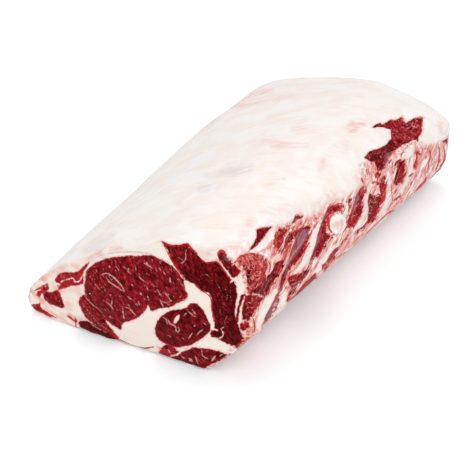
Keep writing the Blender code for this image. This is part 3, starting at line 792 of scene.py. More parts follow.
@dataclass
class Tissues:
    """What the surface is made of at each of its points, and where shade, sheen and highlights are painted on
    it.
    """

    points: np.ndarray
    normals: np.ndarray
    lean: np.ndarray = field(init=False)
    line: np.ndarray = field(init=False)
    fleck: np.ndarray = field(init=False)
    tone: np.ndarray = field(init=False)
    film: np.ndarray = field(init=False)
    blush: np.ndarray = field(init=False)
    smudge_and_shade: np.ndarray = field(init=False)
    trimmed: np.ndarray = field(init=False)
    cut: np.ndarray = field(init=False)
    sunk: np.ndarray = field(init=False)
    lump: np.ndarray = field(init=False)
    seen: np.ndarray = field(init=False)

    def __post_init__(self) -> None:
        """Draws every mark, first on the sides that show and then on the hidden ones."""
        count = len(self.points)
        for name in ("film", "blush", "smudge_and_shade", "sunk", "lump"):
            setattr(self, name, np.zeros(count))
        self.lean = np.full(count, OUTSIDE)
        self.line = np.full(count, OUTSIDE)
        self.fleck = np.full(count, OUTSIDE)
        self.tone = np.full(count, 0.4)
        self.seen = smooth_step(VIEW.facing(self.normals), -0.12, 0.04)
        self.cut = smooth_step(np.abs(self.normals[:, 1]), 0.55, 0.8)
        self.draw_seen()
        self.draw_hidden()

    def add_lean(self, distance: np.ndarray, tone: float) -> None:
        """Adds one muscle or shred of lean.

        Args:
            distance: The signed distance to its border at each point, in millimetres.
            tone: How bright it is, from 0 to 1.
        """
        near = distance > np.where(self.lean > 0, 0.0, np.maximum(self.lean, -2.5))
        self.tone = np.where(near, tone, self.tone)
        self.lean = np.maximum(self.lean, distance)

    def draw_seen(self) -> None:
        """Draws what the picture shows."""
        sheet = Sheet(VIEW.picture(self.points), PIXEL)
        for name, mark in LEAN.items():
            distance = sheet.patch(mark)
            self.add_lean(distance, mark.tone)
            self.sunk = np.maximum(self.sunk, mark.sunk * smooth_step(distance, -0.6, 0.8))
            if name == "torn lump":
                self.lump = smooth_step(distance, -0.5, 3.0)
            if name in ("tuft", "second tuft"):
                fringe = 1.25 - 0.8 * distance
                self.tone = np.where(distance > -1.0, np.maximum(fringe, mark.tone), self.tone)
        for mark in FAT_PATCHES.values():
            self.lean = np.minimum(self.lean, -sheet.patch(mark))
        for mark in FAT_SEAMS.values():
            self.lean = np.minimum(self.lean, -sheet.stroke(mark))
        # Bright streaks, and dark lines, some of which paint the shade in creases and under the cap's edge.
        for mark in (*BRIGHT_STREAKS, *SHADE_AND_DARK_LINES):
            distance = sheet.stroke(mark)
            self.tone = np.where(distance > np.maximum(self.line, -0.8), mark.tone, self.tone)
            self.line = np.maximum(self.line, distance)
        for mark in (*STRANDS, *FLECKS):
            self.fleck = np.maximum(self.fleck, sheet.stroke(mark))
        for mark in FILM.values():
            self.film = np.maximum(self.film, mark.tone * smooth_step(sheet.patch(mark), -1.0, 2.0))
        for name, marks in (("blush", BLUSHES_AND_SHEEN), ("smudge_and_shade", SMUDGES_AND_SHADE_LINE)):
            for mark in marks:
                stain = mark.tone * smooth_step(sheet.stroke(mark), -mark.soft, 0.3 * mark.soft)
                setattr(self, name, np.maximum(getattr(self, name), stain))
        self.trimmed = smooth_step(sheet.patch(TRIMMED), -3.5, 2.5)
        self.trimmed *= 1 - smooth_step(sheet.patch(FAT_OVAL), -0.8, 0.8)
        for mark in SMOOTH_BANDS:
            self.trimmed *= 1 - mark.tone * smooth_step(sheet.stroke(mark), -1.5, 0.8)

    def draw_hidden(self) -> None:
        """Draws the far cut and the underside, and fades the seen marks out into them."""
        lean, tone = np.full(len(self.points), OUTSIDE), np.full(len(self.points), 0.4)
        far = self.normals[:, 1] > 0.45
        sheet = Sheet(self.points[:, (0, 2)], 1.0)
        for mark in FAR_CUT_LEAN.values():
            distance = np.where(far, sheet.patch(mark), OUTSIDE)
            tone = np.where(distance > lean, mark.tone, tone)
            lean = np.maximum(lean, distance)
        fleck = np.max([sheet.stroke(mark) for mark in FAR_CUT_FLECKS], axis=0)
        under = smooth_step(-self.normals[:, 2], 0.3, 0.6) * ~far
        lean = np.maximum(lean, np.where(under > 0.5, self.strips_below(), OUTSIDE))
        side = (self.normals[:, 0] > 0.25) & (under <= 0.5) & ~far
        turned_under = 9.0 * smooth_step(-self.normals[:, 2], 0.05, 0.4) - 2.5
        patches = 7.0 * lattice_noise(self.points * (1, 0.5, 0.7), 12.0, 8)
        lean = np.where(side, patches + turned_under, lean)
        rim = smooth_step(self.points[:, 0], 60.0, 72.0) * (under > 0.5)
        rim_lean = 5.0 + 4 * lattice_noise(self.points, 9.0, 11)
        lean = np.maximum(lean, np.where(rim > 0.5, rim_lean, OUTSIDE))
        self.lean = np.maximum(self.lean * self.seen + lean * (1 - self.seen), OUTSIDE)
        self.tone = self.tone * self.seen + tone * (1 - self.seen)
        self.fleck = np.where(self.seen > 0.5, self.fleck, np.where(far, fleck, OUTSIDE))
        self.line = np.where(self.seen > 0.5, self.line, OUTSIDE)
        self.trimmed = self.trimmed * self.seen + np.maximum(under, side) * (1 - self.seen)
        self.film = self.film * self.seen + (1 - self.seen) * 0.35 * under
        for name in ("blush", "smudge_and_shade", "sunk", "lump"):
            setattr(self, name, getattr(self, name) * self.seen)

    def strips_below(self) -> np.ndarray:
        """Draws the underside's strips of lean, which lie between the beds of the ribs.

        Returns:
            The signed distance to their border at each point, in millimetres.
        """
        half_width, half_length, middle = 11.0, 46.0, 2.0
        across, along = self.points[:, 0], self.points[:, 1]
        beds = (along - RIB_SLANT * across - RIB_FIRST + RIB_PITCH / 2) / RIB_PITCH
        wave = 5 * lattice_noise(self.points * (0.3, 1.0, 1.0), 9.0, 5)
        strips = half_width - RIB_PITCH * np.abs(beds - np.round(beds)) + wave
        ends = half_length - np.abs(across - middle) * 0.75 + 6 * lattice_noise(self.points, 12.0, 6)
        return np.minimum(strips, ends)

    def heights(self) -> np.ndarray:
        """Works out the relief.

        Returns:
            How far each point stands out of the plain form, in millimetres.
        """
        lean = smooth_step(self.lean, -0.4, 0.5)
        along = np.array(FIBRES_RUN)
        fibre = self.points - np.outer(self.points @ along, along) * 0.86
        grain = lattice_noise(self.points, 2.2, 1) + 0.5 * lattice_noise(self.points, 1.1, 2)
        threads = lattice_noise(fibre, 2.4, 3) + 0.5 * lattice_noise(fibre, 1.3, 4)
        swell = lattice_noise(self.points, 17.0, 7)
        crumple = 1 - 2 * np.abs(lattice_noise(self.points, 6.0, 9))
        cut = 0.6 * smooth_step(self.lean, 0.0, 4.0) - 0.15 * np.exp(-((self.lean / 0.9) ** 2))
        cut -= 0.2 * smooth_step(self.fleck, -0.3, 0.4)
        side = -1.5 * smooth_step(self.lean, -0.6, 1.4) - 0.35 * smooth_step(self.line, -0.5, 0.5)
        rise = self.cut * (cut + 0.14 * grain * lean)
        rise += (1 - self.cut) * self.trimmed * (side + 0.38 * threads + 0.6 * swell)
        rise += (1 - self.cut) * (1 - self.trimmed) * (0.25 * swell + 0.25 * grain * lean)
        return rise - self.sunk + self.lump * (1.6 * crumple + 0.4 * threads)

    def write(self, mesh: bpy.types.Mesh) -> None:
        """Stores each tissue on the mesh, for its finish to read.

        Args:
            mesh: The roast's surface, with the same points.
        """
        for name in ("lean", "line", "fleck", "tone", "film", "blush", "smudge_and_shade", "trimmed", "cut", "lump"):
            values = mesh.attributes.new(name, "FLOAT", "POINT")
            values.data.foreach_set("value", getattr(self, name).astype(np.float32))


VIEW = Viewpoint()


class Brush:
    """Adds shader nodes to a material, a step at a time."""

    def __init__(self, material: bpy.types.Material) -> None:
        """Starts on a material's own tree."""
        self.tree = material.node_tree
        self.where = self.tree.nodes.new("ShaderNodeTexCoord").outputs["Object"]

    def put(self, socket: bpy.types.NodeSocket, value: object) -> None:
        """Links a socket to another one, or sets its value.

        Args:
            socket: The input.
            value: An output, a plain value, or None to leave the input as it is.
        """
        if isinstance(value, bpy.types.NodeSocket):
            self.tree.links.new(value, socket)
        elif value is not None:
            socket.default_value = value

    def measure(self, name: str) -> bpy.types.NodeSocket:
        """Reads one of the tissues stored on the mesh.

        Args:
            name: Which one.

        Returns:
            Its value.
        """
        node = self.tree.nodes.new("ShaderNodeAttribute")
        node.attribute_name = name
        return node.outputs["Fac"]

    def sum(self, operation: str, *values: object) -> bpy.types.NodeSocket:
        """Adds a sum, product or other plain operation on numbers.

        Args:
            operation: Its name in the Math node.
            values: Its inputs, in order.

        Returns:
            The result.
        """
        node = self.tree.nodes.new("ShaderNodeMath")
        node.operation = operation
        for socket, value in zip(node.inputs, values):
            self.put(socket, value)
        return node.outputs[0]

    def step(self, value: object, low: float, high: float, top: float = 1.0) -> bpy.types.NodeSocket:
        """Adds a soft rise, or a fall where low is above high.

        Args:
            value: The number that it follows.
            low: Where it starts from 0.
            high: Where it ends.
            top: Its value there.

        Returns:
            The risen value.
        """
        node = self.tree.nodes.new("ShaderNodeMapRange")
        node.interpolation_type = "SMOOTHSTEP"
        self.put(node.inputs["Value"], value)
        self.put(node.inputs["From Min"], low)
        self.put(node.inputs["From Max"], high)
        self.put(node.inputs["To Max"], top)
        return node.outputs["Result"]

    def turned(self, turn: Triple, stretch: Triple) -> bpy.types.NodeSocket:
        """Turns the coordinates, and draws patterns out along them.

        Args:
            turn: Degrees about each axis.
            stretch: How many times longer patterns are along each turned axis.

        Returns:
            The new coordinates.
        """
        node = self.tree.nodes.new("ShaderNodeMapping")
        node.vector_type = "TEXTURE"
        self.put(node.inputs["Vector"], self.where)
        node.inputs["Rotation"].default_value = [math.radians(angle) for angle in turn]
        node.inputs["Scale"].default_value = stretch
        return node.outputs["Vector"]

    def noise(
        self, size: float, detail: float = 3.0, rough: float = 0.5, where: bpy.types.NodeSocket | None = None
    ) -> bpy.types.NodeSocket:
        """Adds cloudy noise.

        Args:
            size: How far apart its bumps are, in millimetres.
            detail: How many finer layers it has.
            rough: How strong they are.
            where: Its coordinates, or None for the object's own.

        Returns:
            A value from 0 to 1, mostly near 0.5.
        """
        node = self.tree.nodes.new("ShaderNodeTexNoise")
        self.put(node.inputs["Vector"], where or self.where)
        node.inputs["Scale"].default_value = 1 / (size * MM)
        node.inputs["Detail"].default_value = detail
        node.inputs["Roughness"].default_value = rough
        return node.outputs["Fac"]

    def cells(self, size: float, where: bpy.types.NodeSocket) -> bpy.types.NodeSocket:
        """Adds soft cells.

        Args:
            size: How wide they are, in millimetres.
            where: Their coordinates.

        Returns:
            The distance to the middle of the nearest one.
        """
        node = self.tree.nodes.new("ShaderNodeTexVoronoi")
        node.feature = "SMOOTH_F1"
        self.put(node.inputs["Vector"], where)
        node.inputs["Scale"].default_value = 1 / (size * MM)
        return node.outputs["Distance"]

    def blend(self, share: object, first: object, second: object) -> bpy.types.NodeSocket:
        """Mixes two colours.

        Args:
            share: How much of the second there is, from 0 to 1.
            first: The colour at 0.
            second: The colour at 1.

        Returns:
            The mixed colour.
        """
        node = self.tree.nodes.new("ShaderNodeMix")
        node.data_type = "RGBA"
        self.put(node.inputs[0], share)
        self.put(node.inputs[6], first)
        self.put(node.inputs[7], second)
        return node.outputs[2]

    def ramp(self, share: object, stops: list[tuple[float, Triple]]) -> bpy.types.NodeSocket:
        """Adds colours that follow a number.

        Args:
            share: The number, from 0 to 1.
            stops: Places on the way, each with its colour.

        Returns:
            The colour.
        """
        node = self.tree.nodes.new("ShaderNodeValToRGB")
        while len(node.color_ramp.elements) < len(stops):
            node.color_ramp.elements.new(1.0)
        for element, (position, colour) in zip(node.color_ramp.elements, stops):
            element.position = position
            element.color = (*colour, 1.0)
        self.put(node.inputs[0], share)
        return node.outputs["Color"]


@dataclass(frozen=True)
class RawBeef:
    """The finish of raw lean, fat and silver skin, told apart by what is stored on the mesh, with some shade,
    sheen and highlights painted into its colour.
    """

    # Reds of the lean, from shade to blood and dried edges
    darkest: Triple = (0.045, 0.0008, 0.0015)
    dark: Triple = (0.11, 0.0016, 0.0035)
    middle: Triple = (0.20, 0.0055, 0.009)
    bright: Triple = (0.50, 0.020, 0.034)
    rust: Triple = (0.44, 0.075, 0.035)
    blood: Colour = (0.60, 0.03, 0.035, 1)
    skin: Colour = (0.36, 0.15, 0.18, 1)
    marbling: Colour = (0.68, 0.34, 0.31, 1)
    # pale sinew threads, and the side's painted glints
    sinew_and_glint: Colour = (0.72, 0.47, 0.43, 1)
    # Colours of the fat, clean and stained, three of which also paint the lump's highlights and sheen and a
    # shade line
    cream: Colour = (0.88, 0.805, 0.75, 1)
    white: Colour = (0.89, 0.85, 0.825, 1)
    cut_fat: Colour = (0.91, 0.79, 0.71, 1)
    # pink of the fat's stains, and the painted highlights on the torn lump
    pink_and_highlight: Colour = (0.82, 0.35, 0.31, 1)
    # raw pink streaks of the trimmed fat, and the torn lump's painted sheen
    raw_pink_and_sheen: Colour = (0.74, 0.24, 0.20, 1)
    seeping: Colour = (0.52, 0.045, 0.045, 1)
    # grey of the smudges and of the painted shade line
    grey_smear_and_shade: Colour = (0.60, 0.50, 0.53, 1)
    # How patterns run: degrees about each axis, and how far they are drawn out along it
    fibre_turn: Triple = (33.2, 0, 0)
    fibre_stretch: Triple = (1.0, 6.5, 1.0)
    streak_turn: Triple = (0, 0, 34.0)
    streak_stretch: Triple = (4.5, 1.0, 1.0)
    bundle_turn: Triple = (0, -40.0, 0)
    bundle_stretch: Triple = (1.0, 1.6, 2.6)
    relief_strength: float = 0.45
    shine: float = 0.02

    def make(self) -> bpy.types.Material:
        """Builds the material.

        Returns:
            The finish of every piece of the roast.
        """
        material = bpy.data.materials.new("raw_beef")
        material.use_nodes = True
        brush = Brush(material)
        lean, cut = brush.measure("lean"), brush.measure("cut")
        fibres = brush.turned(self.fibre_turn, self.fibre_stretch)
        streaks = brush.turned(self.streak_turn, self.streak_stretch)
        is_lean = self.lean_share(brush, lean, fibres)
        red = self.lean_colour(brush, cut, fibres)
        pale = self.fat_colour(brush, lean, fibres, streaks)

        shader = material.node_tree.nodes["Principled BSDF"]
        brush.put(shader.inputs["Base Color"], brush.blend(is_lean, pale, red))
        gloss = brush.sum("MULTIPLY_ADD", brush.noise(1.6, 3.0), 0.25, 0.27)
        matt = brush.sum("MULTIPLY_ADD", brush.noise(5.0, 3.0), 0.25, 0.38)
        rough = brush.sum("MULTIPLY_ADD", is_lean, brush.sum("SUBTRACT", gloss, matt), matt)
        brush.put(shader.inputs["Roughness"], rough)
        shader.inputs["Specular IOR Level"].default_value = self.shine
        shader.inputs["Subsurface Weight"].default_value = 0.05
        shader.inputs["Subsurface Radius"].default_value = (1.0, 0.35, 0.25)
        shader.inputs["Subsurface Scale"].default_value = 0.002

        relief = brush.sum("MULTIPLY", brush.noise(0.9, 3.0, 0.6), 0.6)
        thread = brush.noise(1.1, 3.0, 0.6, fibres)
        relief = brush.sum("MULTIPLY_ADD", thread, brush.sum("MULTIPLY_ADD", cut, -0.9, 1.0), relief)
        smear = brush.noise(5.0, 4.0, 0.6, streaks)
        relief = brush.sum("MULTIPLY_ADD", smear, brush.sum("MULTIPLY_ADD", cut, -1.3, 1.4), relief)
        bump = material.node_tree.nodes.new("ShaderNodeBump")
        bump.inputs["Strength"].default_value = self.relief_strength
        bump.inputs["Distance"].default_value = MM
        brush.put(bump.inputs["Height"], relief)
        brush.put(shader.inputs["Normal"], bump.outputs["Normal"])
        return material

    def lean_share(
        self, brush: Brush, lean: bpy.types.NodeSocket, fibres: bpy.types.NodeSocket
    ) -> bpy.types.NodeSocket:
        """Where the lean shows, with frayed borders that follow the fibres on the trimmed side.

        Args:
            brush: The material's brush.
            lean: The signed distance to the lean's border, in millimetres.
            fibres: Coordinates drawn out along the fibres.

        Returns:
            1 on lean and 0 on fat.
        """
        wobble = brush.sum("SUBTRACT", brush.noise(2.8, 5.0, 0.75), 0.5)
        border = brush.sum("MULTIPLY_ADD", wobble, 4.5, lean)
        frayed = brush.sum("SUBTRACT", brush.noise(2.0, 4.0, 0.65, fibres), 0.5)
        frays = brush.sum("MULTIPLY", brush.measure("trimmed"), 8.0)
        border = brush.sum("MULTIPLY_ADD", frayed, frays, border)
        thin = brush.sum("MULTIPLY_ADD", wobble, 1.6, brush.measure("line"))
        return brush.sum("MAXIMUM", brush.step(border, -0.2, 0.25), brush.step(thin, -0.3, 0.2))

    def lean_colour(
        self, brush: Brush, cut: bpy.types.NodeSocket, fibres: bpy.types.NodeSocket
    ) -> bpy.types.NodeSocket:
        """The reds of the lean, with its marbling, white threads and silver skin, and painted glints, sheen,
        highlights and fold shade.

        Args:
            brush: The material's brush.
            cut: 1 on the cut ends and 0 elsewhere.
            fibres: Coordinates drawn out along the fibres.

        Returns:
            The colour.
        """
        side = brush.sum("SUBTRACT", 1.0, cut)
        slanted = brush.turned(self.bundle_turn, self.bundle_stretch)
        bundles = brush.sum("SUBTRACT", 0.36, brush.cells(1.7, slanted))
        bundles = brush.sum("MULTIPLY", bundles, brush.sum("MULTIPLY", cut, 0.8))
        tone = brush.sum("ADD", brush.measure("tone"), brush.sum("MULTIPLY_ADD", side, 0.12, bundles))
        cloud = brush.sum("SUBTRACT", brush.noise(5.0, 5.0, 0.7), 0.5)
        tone = brush.sum("MULTIPLY_ADD", cloud, 1.8, tone)
        grain = brush.sum("SUBTRACT", brush.noise(1.3, 2.0, 0.6), 0.5)
        tone = brush.sum("MULTIPLY_ADD", grain, 1.3, tone)
        tone = brush.sum("ADD", tone, brush.step(brush.measure("lean"), 1.5, 0.0, 0.3))
        thread = brush.sum("SUBTRACT", brush.noise(1.8, 3.0, 0.6, fibres), 0.5)
        tone = brush.sum("MULTIPLY_ADD", thread, brush.sum("MULTIPLY", side, 1.5), tone)
        wet = brush.sum("SUBTRACT", brush.noise(2.6, 3.0, 0.65), 0.5)
        tone = brush.sum("MULTIPLY_ADD", wet, brush.sum("MULTIPLY", side, 1.9), tone)
        lump = brush.measure("lump")
        # Painted shade: the torn lump's red is darkened along thin winding lines, the shade in its folds.
        fold = brush.sum("ABSOLUTE", brush.sum("SUBTRACT", brush.noise(7.0, 1.0, 0.5), 0.48))
        fold = brush.step(fold, 0.05, 0.0, 0.75)
        tone = brush.sum("SUBTRACT", tone, brush.sum("MULTIPLY", fold, lump))
        red = brush.ramp(brush.sum("MULTIPLY", tone, 0.667), [
            (0.0, self.darkest), (0.16, self.dark), (0.33, self.middle), (0.67, self.bright),
            (0.8, self.bright), (0.95, self.rust)])
        skin = brush.step(brush.noise(2.4, 3.0, 0.6, fibres), 0.35, 0.55)
        red = brush.blend(brush.sum("MULTIPLY", brush.measure("film"), skin), red, self.skin)

        speck = brush.step(brush.noise(1.5, 2.0, 0.5, slanted), 0.6, 0.7, 0.5)
        present = brush.sum("MULTIPLY", brush.step(brush.noise(7.0, 2.0), 0.42, 0.56), cut)
        present = brush.sum("MULTIPLY", present, brush.step(brush.measure("tone"), 0.36, 0.52))
        red = brush.blend(brush.sum("MULTIPLY", speck, present), red, self.marbling)
        ragged = brush.sum("SUBTRACT", brush.noise(1.5, 3.0, 0.7), 0.5)
        ragged = brush.sum("MULTIPLY_ADD", ragged, 2.4, brush.measure("fleck"))
        red = brush.blend(brush.step(ragged, -0.15, 0.45, 0.85), red, self.marbling)

        white_thread = brush.step(brush.noise(2.0, 3.0, 0.6, fibres), 0.57, 0.66, 0.38)
        # Painted highlight: small pale glints of wet lean on the trimmed side, mixed in with the white
        # threads.
        glint = brush.step(brush.noise(2.8, 3.0, 0.65), 0.6, 0.66, 0.6)
        patchy = brush.step(brush.noise(7.0, 2.0), 0.45, 0.58)
        plain = brush.sum("MULTIPLY", patchy, brush.sum("SUBTRACT", side, lump))
        pale = brush.sum("MAXIMUM", white_thread, glint)
        red = brush.blend(brush.sum("MULTIPLY", pale, plain), red, self.sinew_and_glint)
        # Painted sheen: a raw pink veil over the torn lump's upper part, where the wide blush strokes lie.
        painted_sheen = brush.step(brush.noise(3.6, 4.0, 0.7), 0.48, 0.6, 0.8)
        painted_sheen = brush.sum("MULTIPLY", painted_sheen, brush.measure("blush"))
        red = brush.blend(brush.sum("MULTIPLY", painted_sheen, lump), red, self.raw_pink_and_sheen)
        # Painted highlight: thin pink lines along the torn lump's crumples.
        crumple_highlight = brush.sum("ABSOLUTE", brush.sum("SUBTRACT", brush.noise(5.5, 1.5, 0.5), 0.52))
        red = brush.blend(brush.sum("MULTIPLY", brush.step(crumple_highlight, 0.028, 0.004, 0.75), lump), red, self.pink_and_highlight)
        vessel = brush.sum("MULTIPLY", brush.step(brush.measure("line"), -0.4, 0.1), side)
        vessel = brush.sum("MULTIPLY", vessel, brush.step(brush.measure("tone"), 0.45, 0.6, 0.7))
        vessel = brush.sum("MULTIPLY", vessel, brush.step(brush.measure("tone"), 1.15, 0.95))
        return brush.blend(vessel, red, self.blood)

    def fat_colour(
        self, brush: Brush, lean: bpy.types.NodeSocket, fibres: bpy.types.NodeSocket,
        streaks: bpy.types.NodeSocket
    ) -> bpy.types.NodeSocket:
        """The creams and pinks of the fat, with what has seeped into it, its grey smudges and a painted grey
        shade line.

        Args:
            brush: The material's brush.
            lean: The signed distance to the lean's border, in millimetres.
            fibres: Coordinates drawn out along the fibres.
            streaks: Coordinates drawn out along the cap's wrinkles.

        Returns:
            The colour.
        """
        trimmed = brush.measure("trimmed")
        pale = brush.blend(brush.step(brush.noise(24.0, 4.0, 0.6), 0.42, 0.58), self.cream, self.white)
        pale = brush.blend(brush.measure("cut"), pale, self.cut_fat)
        uneven = brush.step(brush.noise(6.0, 4.0, 0.6, streaks), 0.38, 0.58)
        blush = brush.sum("MULTIPLY", brush.measure("blush"), uneven)
        faint = brush.step(brush.noise(9.0, 5.0, 0.65, streaks), 0.52, 0.7, 0.14)
        pale = brush.blend(brush.sum("MAXIMUM", blush, faint), pale, self.pink_and_highlight)
        along = brush.step(brush.noise(3.4, 5.0, 0.65, fibres), 0.405, 0.575, 0.88)
        pale = brush.blend(brush.sum("MULTIPLY", trimmed, along), pale, self.raw_pink_and_sheen)
        seep = brush.step(brush.noise(2.0, 4.0, 0.65, fibres), 0.505, 0.57, 0.9)
        seep = brush.sum("MULTIPLY", seep, brush.step(brush.noise(9.0, 3.0, 0.6), 0.42, 0.53))
        pale = brush.blend(brush.sum("MULTIPLY", seep, trimmed), pale, self.seeping)
        blurred = brush.step(brush.noise(5.0, 4.0, 0.6, streaks), 0.36, 0.56)
        # Grey smudges, and the painted shade line above the eye.
        pale = brush.blend(brush.sum("MULTIPLY", brush.measure("smudge_and_shade"), blurred), pale, self.grey_smear_and_shade)
        near = brush.sum("MULTIPLY_ADD", brush.noise(4.0, 4.0, 0.65), 9.0, lean)
        stained = brush.step(near, 2.4, 6.0, 0.7)
        return brush.blend(stained, pale, self.pink_and_highlight)


class Region(Enum):
    """The pieces that the surface is divided into."""

    CUT_FACE = "cut_face"
    TRIMMED_SIDE = "trimmed_side"
    CAP_EDGE = "cap_edge"
    FAR_CUT = "far_cut"
    FAT_CAP = "fat_cap"


@dataclass
class Ribeye:
    """The whole roast: one surface, made fine where the detail is and then divided into pieces."""

    node: str = "ribeye"
    voxel: float = 2.4
    face_cuts: int = 3
    side_cuts: int = 2
    back_cuts: int = 2
    # Where the regions lie, in millimetres
    face_start: float = -177.45  # where the shown cut's plane crosses the middle
    face_skew: float = 0.129
    face_depth: float = 4.0
    side_start: float = 78.0
    side_foot: float = 6.0
    edge_height: float = 93.0  # where the cap's edge ends on the side, at the middle of the length
    edge_fall: float = 0.098
    back_start: float = 175.0
    finish: RawBeef = field(default_factory=RawBeef)

    def build(self) -> list[bpy.types.Object]:
        """Makes the roast's pieces and dresses them.

        Returns:
            The pieces, ready to ride.
        """
        skin = self.copy_form()
        self.refine(skin, self.in_front, self.face_cuts)
        self.refine(skin, self.on_side, self.side_cuts)
        self.refine(skin, self.at_back, self.back_cuts)
        self.shape(skin)
        pieces = self.divide(skin)
        material = self.finish.make()
        for piece in pieces:
            piece.data.materials.clear()
            piece.data.materials.append(material)
        return pieces

    def copy_form(self) -> bpy.types.Object:
        """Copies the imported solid's form.

        Returns:
            One closed surface of even faces.
        """
        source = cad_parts[self.node]
        skin = source.copy()
        skin.data = source.data.copy()
        skin.name = "roast"
        bpy.context.scene.collection.objects.link(skin)
        only(skin)
        bpy.ops.object.mode_set(mode="EDIT")
        bpy.ops.mesh.select_all(action="SELECT")
        bpy.ops.mesh.remove_doubles(threshold=0.00001)
        bpy.ops.object.mode_set(mode="OBJECT")
        even = skin.modifiers.new("even", "REMESH")
        even.mode = "VOXEL"
        even.voxel_size = self.voxel * MM
        bpy.ops.object.modifier_apply(modifier=even.name)
        soften = skin.modifiers.new("soften", "SMOOTH")
        soften.factor = 0.5
        soften.iterations = 4
        bpy.ops.object.modifier_apply(modifier=soften.name)
        return skin

    def face_gap(self, centres: np.ndarray) -> np.ndarray:
        """How far behind the shown cut's plane each place is, in millimetres."""
        return centres[:, 1] - self.face_start - self.face_skew * (centres[:, 0] - ACROSS)

    def in_front(self, centres: np.ndarray, normals: np.ndarray) -> np.ndarray:
        """Which faces are on the shown cut."""
        return (self.face_gap(centres) < self.face_depth) & (normals[:, 1] < -0.3)

    def on_side(self, centres: np.ndarray, normals: np.ndarray) -> np.ndarray:
        """Which faces are on the trimmed side, or on the cap's edge above it."""
        shown = (VIEW.facing(normals) > -0.35) & (centres[:, 2] > self.side_foot)
        return (centres[:, 0] > self.side_start) & shown & ~self.in_front(centres, normals)

    def below_edge(self, centres: np.ndarray, normals: np.ndarray) -> np.ndarray:
        """Which faces are on the trimmed side, below the cap's edge."""
        edge = self.edge_height - self.edge_fall * centres[:, 1]
        return self.on_side(centres, normals) & (centres[:, 2] < edge)

    def at_back(self, centres: np.ndarray, normals: np.ndarray) -> np.ndarray:
        """Which faces are on the far cut."""
        behind = (normals[:, 1] > 0.5) & (centres[:, 1] > self.back_start)
        return behind & ~self.on_side(centres, normals)

    def refine(self, skin: bpy.types.Object, chosen: Rule, cuts: int) -> None:
        """Cuts the chosen faces finer, and smooths them.

        Args:
            skin: The roast's surface.
            chosen: Says which faces.
            cuts: The number of new edges across each face.
        """
        pick_faces(skin, chosen)
        bpy.ops.object.mode_set(mode="EDIT")
        bpy.ops.mesh.subdivide(number_cuts=cuts, ngon=False)
        bpy.ops.mesh.vertices_smooth(factor=0.5, repeat=4)
        bpy.ops.object.mode_set(mode="OBJECT")

    def shape(self, skin: bpy.types.Object) -> None:
        """Draws the tissues on the surface and raises their relief.

        Args:
            skin: The roast's surface.
        """
        mesh = skin.data
        points = read(mesh.vertices, "co") / MM
        normals = read(mesh.vertices, "normal")
        tissues = Tissues(points, normals)
        points = points + normals * tissues.heights()[:, None]
        points[:, 2] = np.maximum(points[:, 2], 0.0)
        mesh.vertices.foreach_set("co", (points * MM).astype(np.float32).ravel())
        mesh.update()
        tissues.write(mesh)
        mesh.shade_smooth()
        whole = mesh.attributes.new("whole_normal", "FLOAT_VECTOR", "POINT")
        whole.data.foreach_set("vector", read(mesh.vertices, "normal").astype(np.float32).ravel())

    def divide(self, skin: bpy.types.Object) -> list[bpy.types.Object]:
        """Splits the surface into its pieces, which keep the whole one's smooth shading.

        Args:
            skin: The roast's surface.

        Returns:
            The pieces, in the order of the regions.
        """
        only(skin)
        for region, chosen in (
            (Region.CUT_FACE, self.in_front), (Region.TRIMMED_SIDE, self.below_edge),
            (Region.CAP_EDGE, self.on_side), (Region.FAR_CUT, self.at_back),
        ):
            pick_faces(skin, chosen)
            bpy.ops.object.mode_set(mode="EDIT")
            bpy.ops.mesh.separate(type="SELECTED")
            bpy.ops.object.mode_set(mode="OBJECT")
            parts = bpy.context.selected_objects
            new = next(part for part in parts if part.name.startswith("roast."))
            new.name = region.value
            only(skin)
        skin.name = Region.FAT_CAP.value
        pieces = [bpy.data.objects[region.value] for region in Region]
        for piece in pieces:
            whole = piece.data.attributes["whole_normal"]
            values = np.zeros(len(piece.data.vertices) * 3, np.float32)
            whole.data.foreach_get("vector", values)
            piece.data.normals_split_custom_set_from_vertices(values.reshape(-1, 3).tolist())
            piece.data.attributes.remove(piece.data.attributes["whole_normal"])
        return pieces


def only(thing: bpy.types.Object) -> None:
    """Selects one object and no other.

    Args:
        thing: The object.
    """
    bpy.ops.object.select_all(action="DESELECT")
    thing.select_set(True)
    bpy.context.view_layer.objects.active = thing


def read(items: bpy.types.bpy_prop_collection, name: str) -> np.ndarray:
    """Reads a vector from every vertex or face.

    Args:
        items: The vertices or faces.
        name: Which vector.

    Returns:
        The vectors, one a row.
    """
    values = np.zeros(len(items) * 3, np.float32)
    items.foreach_get(name, values)
    return values.reshape(-1, 3).astype(float)


def pick_faces(thing: bpy.types.Object, chosen: Rule) -> None:
    """Selects the faces that a rule chooses.

    Args:
        thing: The object.
        chosen: The rule, which is given their centres in millimetres.
    """
    only(thing)
    bpy.ops.object.mode_set(mode="EDIT")
    bpy.ops.mesh.select_mode(type="FACE")
    bpy.ops.mesh.select_all(action="DESELECT")
    bpy.ops.object.mode_set(mode="OBJECT")
    faces = thing.data.polygons
    faces.foreach_set("select", chosen(read(faces, "center") / MM, read(faces, "normal")))


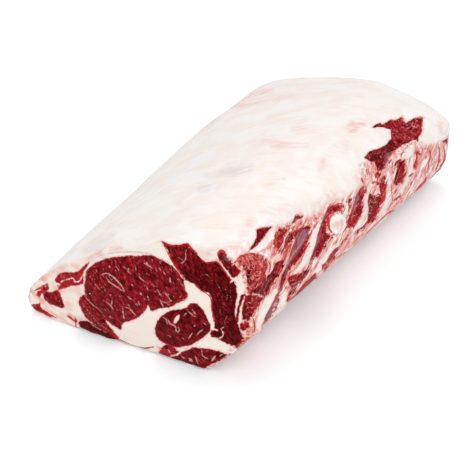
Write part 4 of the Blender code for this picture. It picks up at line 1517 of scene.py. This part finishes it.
@dataclass(frozen=True)
class Studio:
    """A white table and soft light from above and to the left."""

    floor_size: float = 12.0
    floor_drop: float = 0.0002  # below the meat, so that the two surfaces don't fight
    floor_colour: Colour = (0.83, 0.86, 0.865, 1)
    floor_glow: float = 0.27  # the table is lit from below as well
    glow_colour: Colour = (0.90, 1.0, 1.0, 1)
    sky: float = 0.69
    lamp_place: Triple = (-0.25, 0.1, 1.6)
    lamp_power: float = 6.8
    fill_place: Triple = (0.9, -0.65, 1.3)
    fill_power: float = 8.0
    lamp_size: float = 1.1

    def build(self) -> None:
        """Makes the floor, the lights and the camera."""
        bpy.ops.mesh.primitive_plane_add(size=self.floor_size, location=(0, 0, -self.floor_drop))
        floor = bpy.context.object
        floor.name = "table_top"
        material = bpy.data.materials.new("white_table")
        material.use_nodes = True
        shader = material.node_tree.nodes["Principled BSDF"]
        shader.inputs["Base Color"].default_value = self.floor_colour
        shader.inputs["Roughness"].default_value = 0.9
        shader.inputs["Specular IOR Level"].default_value = 0.1
        shader.inputs["Emission Color"].default_value = self.glow_colour
        shader.inputs["Emission Strength"].default_value = self.floor_glow
        floor.data.materials.append(material)
        world = bpy.data.worlds.new("soft_white")
        world.use_nodes = True
        world.node_tree.nodes["Background"].inputs["Color"].default_value = (1, 1, 1, 1)
        world.node_tree.nodes["Background"].inputs["Strength"].default_value = self.sky
        bpy.context.scene.world = world
        self.add_lamp("overhead_softbox", self.lamp_place, self.lamp_power)
        self.add_lamp("side_softbox", self.fill_place, self.fill_power)
        bpy.context.scene.view_settings.view_transform = "Standard"
        self.add_camera()

    def add_lamp(self, name: str, place: Triple, power: float) -> None:
        """Adds a square soft lamp that points at the meat.

        Args:
            name: The lamp's name.
            place: Where it hangs, in metres.
            power: Its power, in watts.
        """
        bpy.ops.object.light_add(type="AREA", location=place)
        lamp = bpy.context.object
        lamp.name = name
        lamp.data.energy = power
        lamp.data.size = self.lamp_size
        lamp.rotation_euler = (-Vector(place)).to_track_quat("-Z", "Y").to_euler()

    def add_camera(self) -> None:
        """Adds the camera at the picture's viewpoint."""
        position = Vector(VIEW.position()) * MM
        bpy.ops.object.camera_add(location=position)
        camera = bpy.context.object
        camera.rotation_euler = (Vector(VIEW.target) * MM - position).to_track_quat("-Z", "Y").to_euler()
        camera.data.lens = VIEW.lens
        camera.data.sensor_width = VIEW.sensor
        bpy.context.scene.camera = camera


def main() -> None:
    """Builds the roast and its studio."""
    logging.basicConfig(level=logging.INFO, format="%(message)s")
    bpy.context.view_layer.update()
    pieces = Ribeye().build()
    for piece in pieces:
        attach(piece, "root")
        logging.info("%s: %d faces", piece.name, len(piece.data.polygons))
    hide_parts("ribeye")
    Studio().build()


if __name__ == "__main__":
    main()
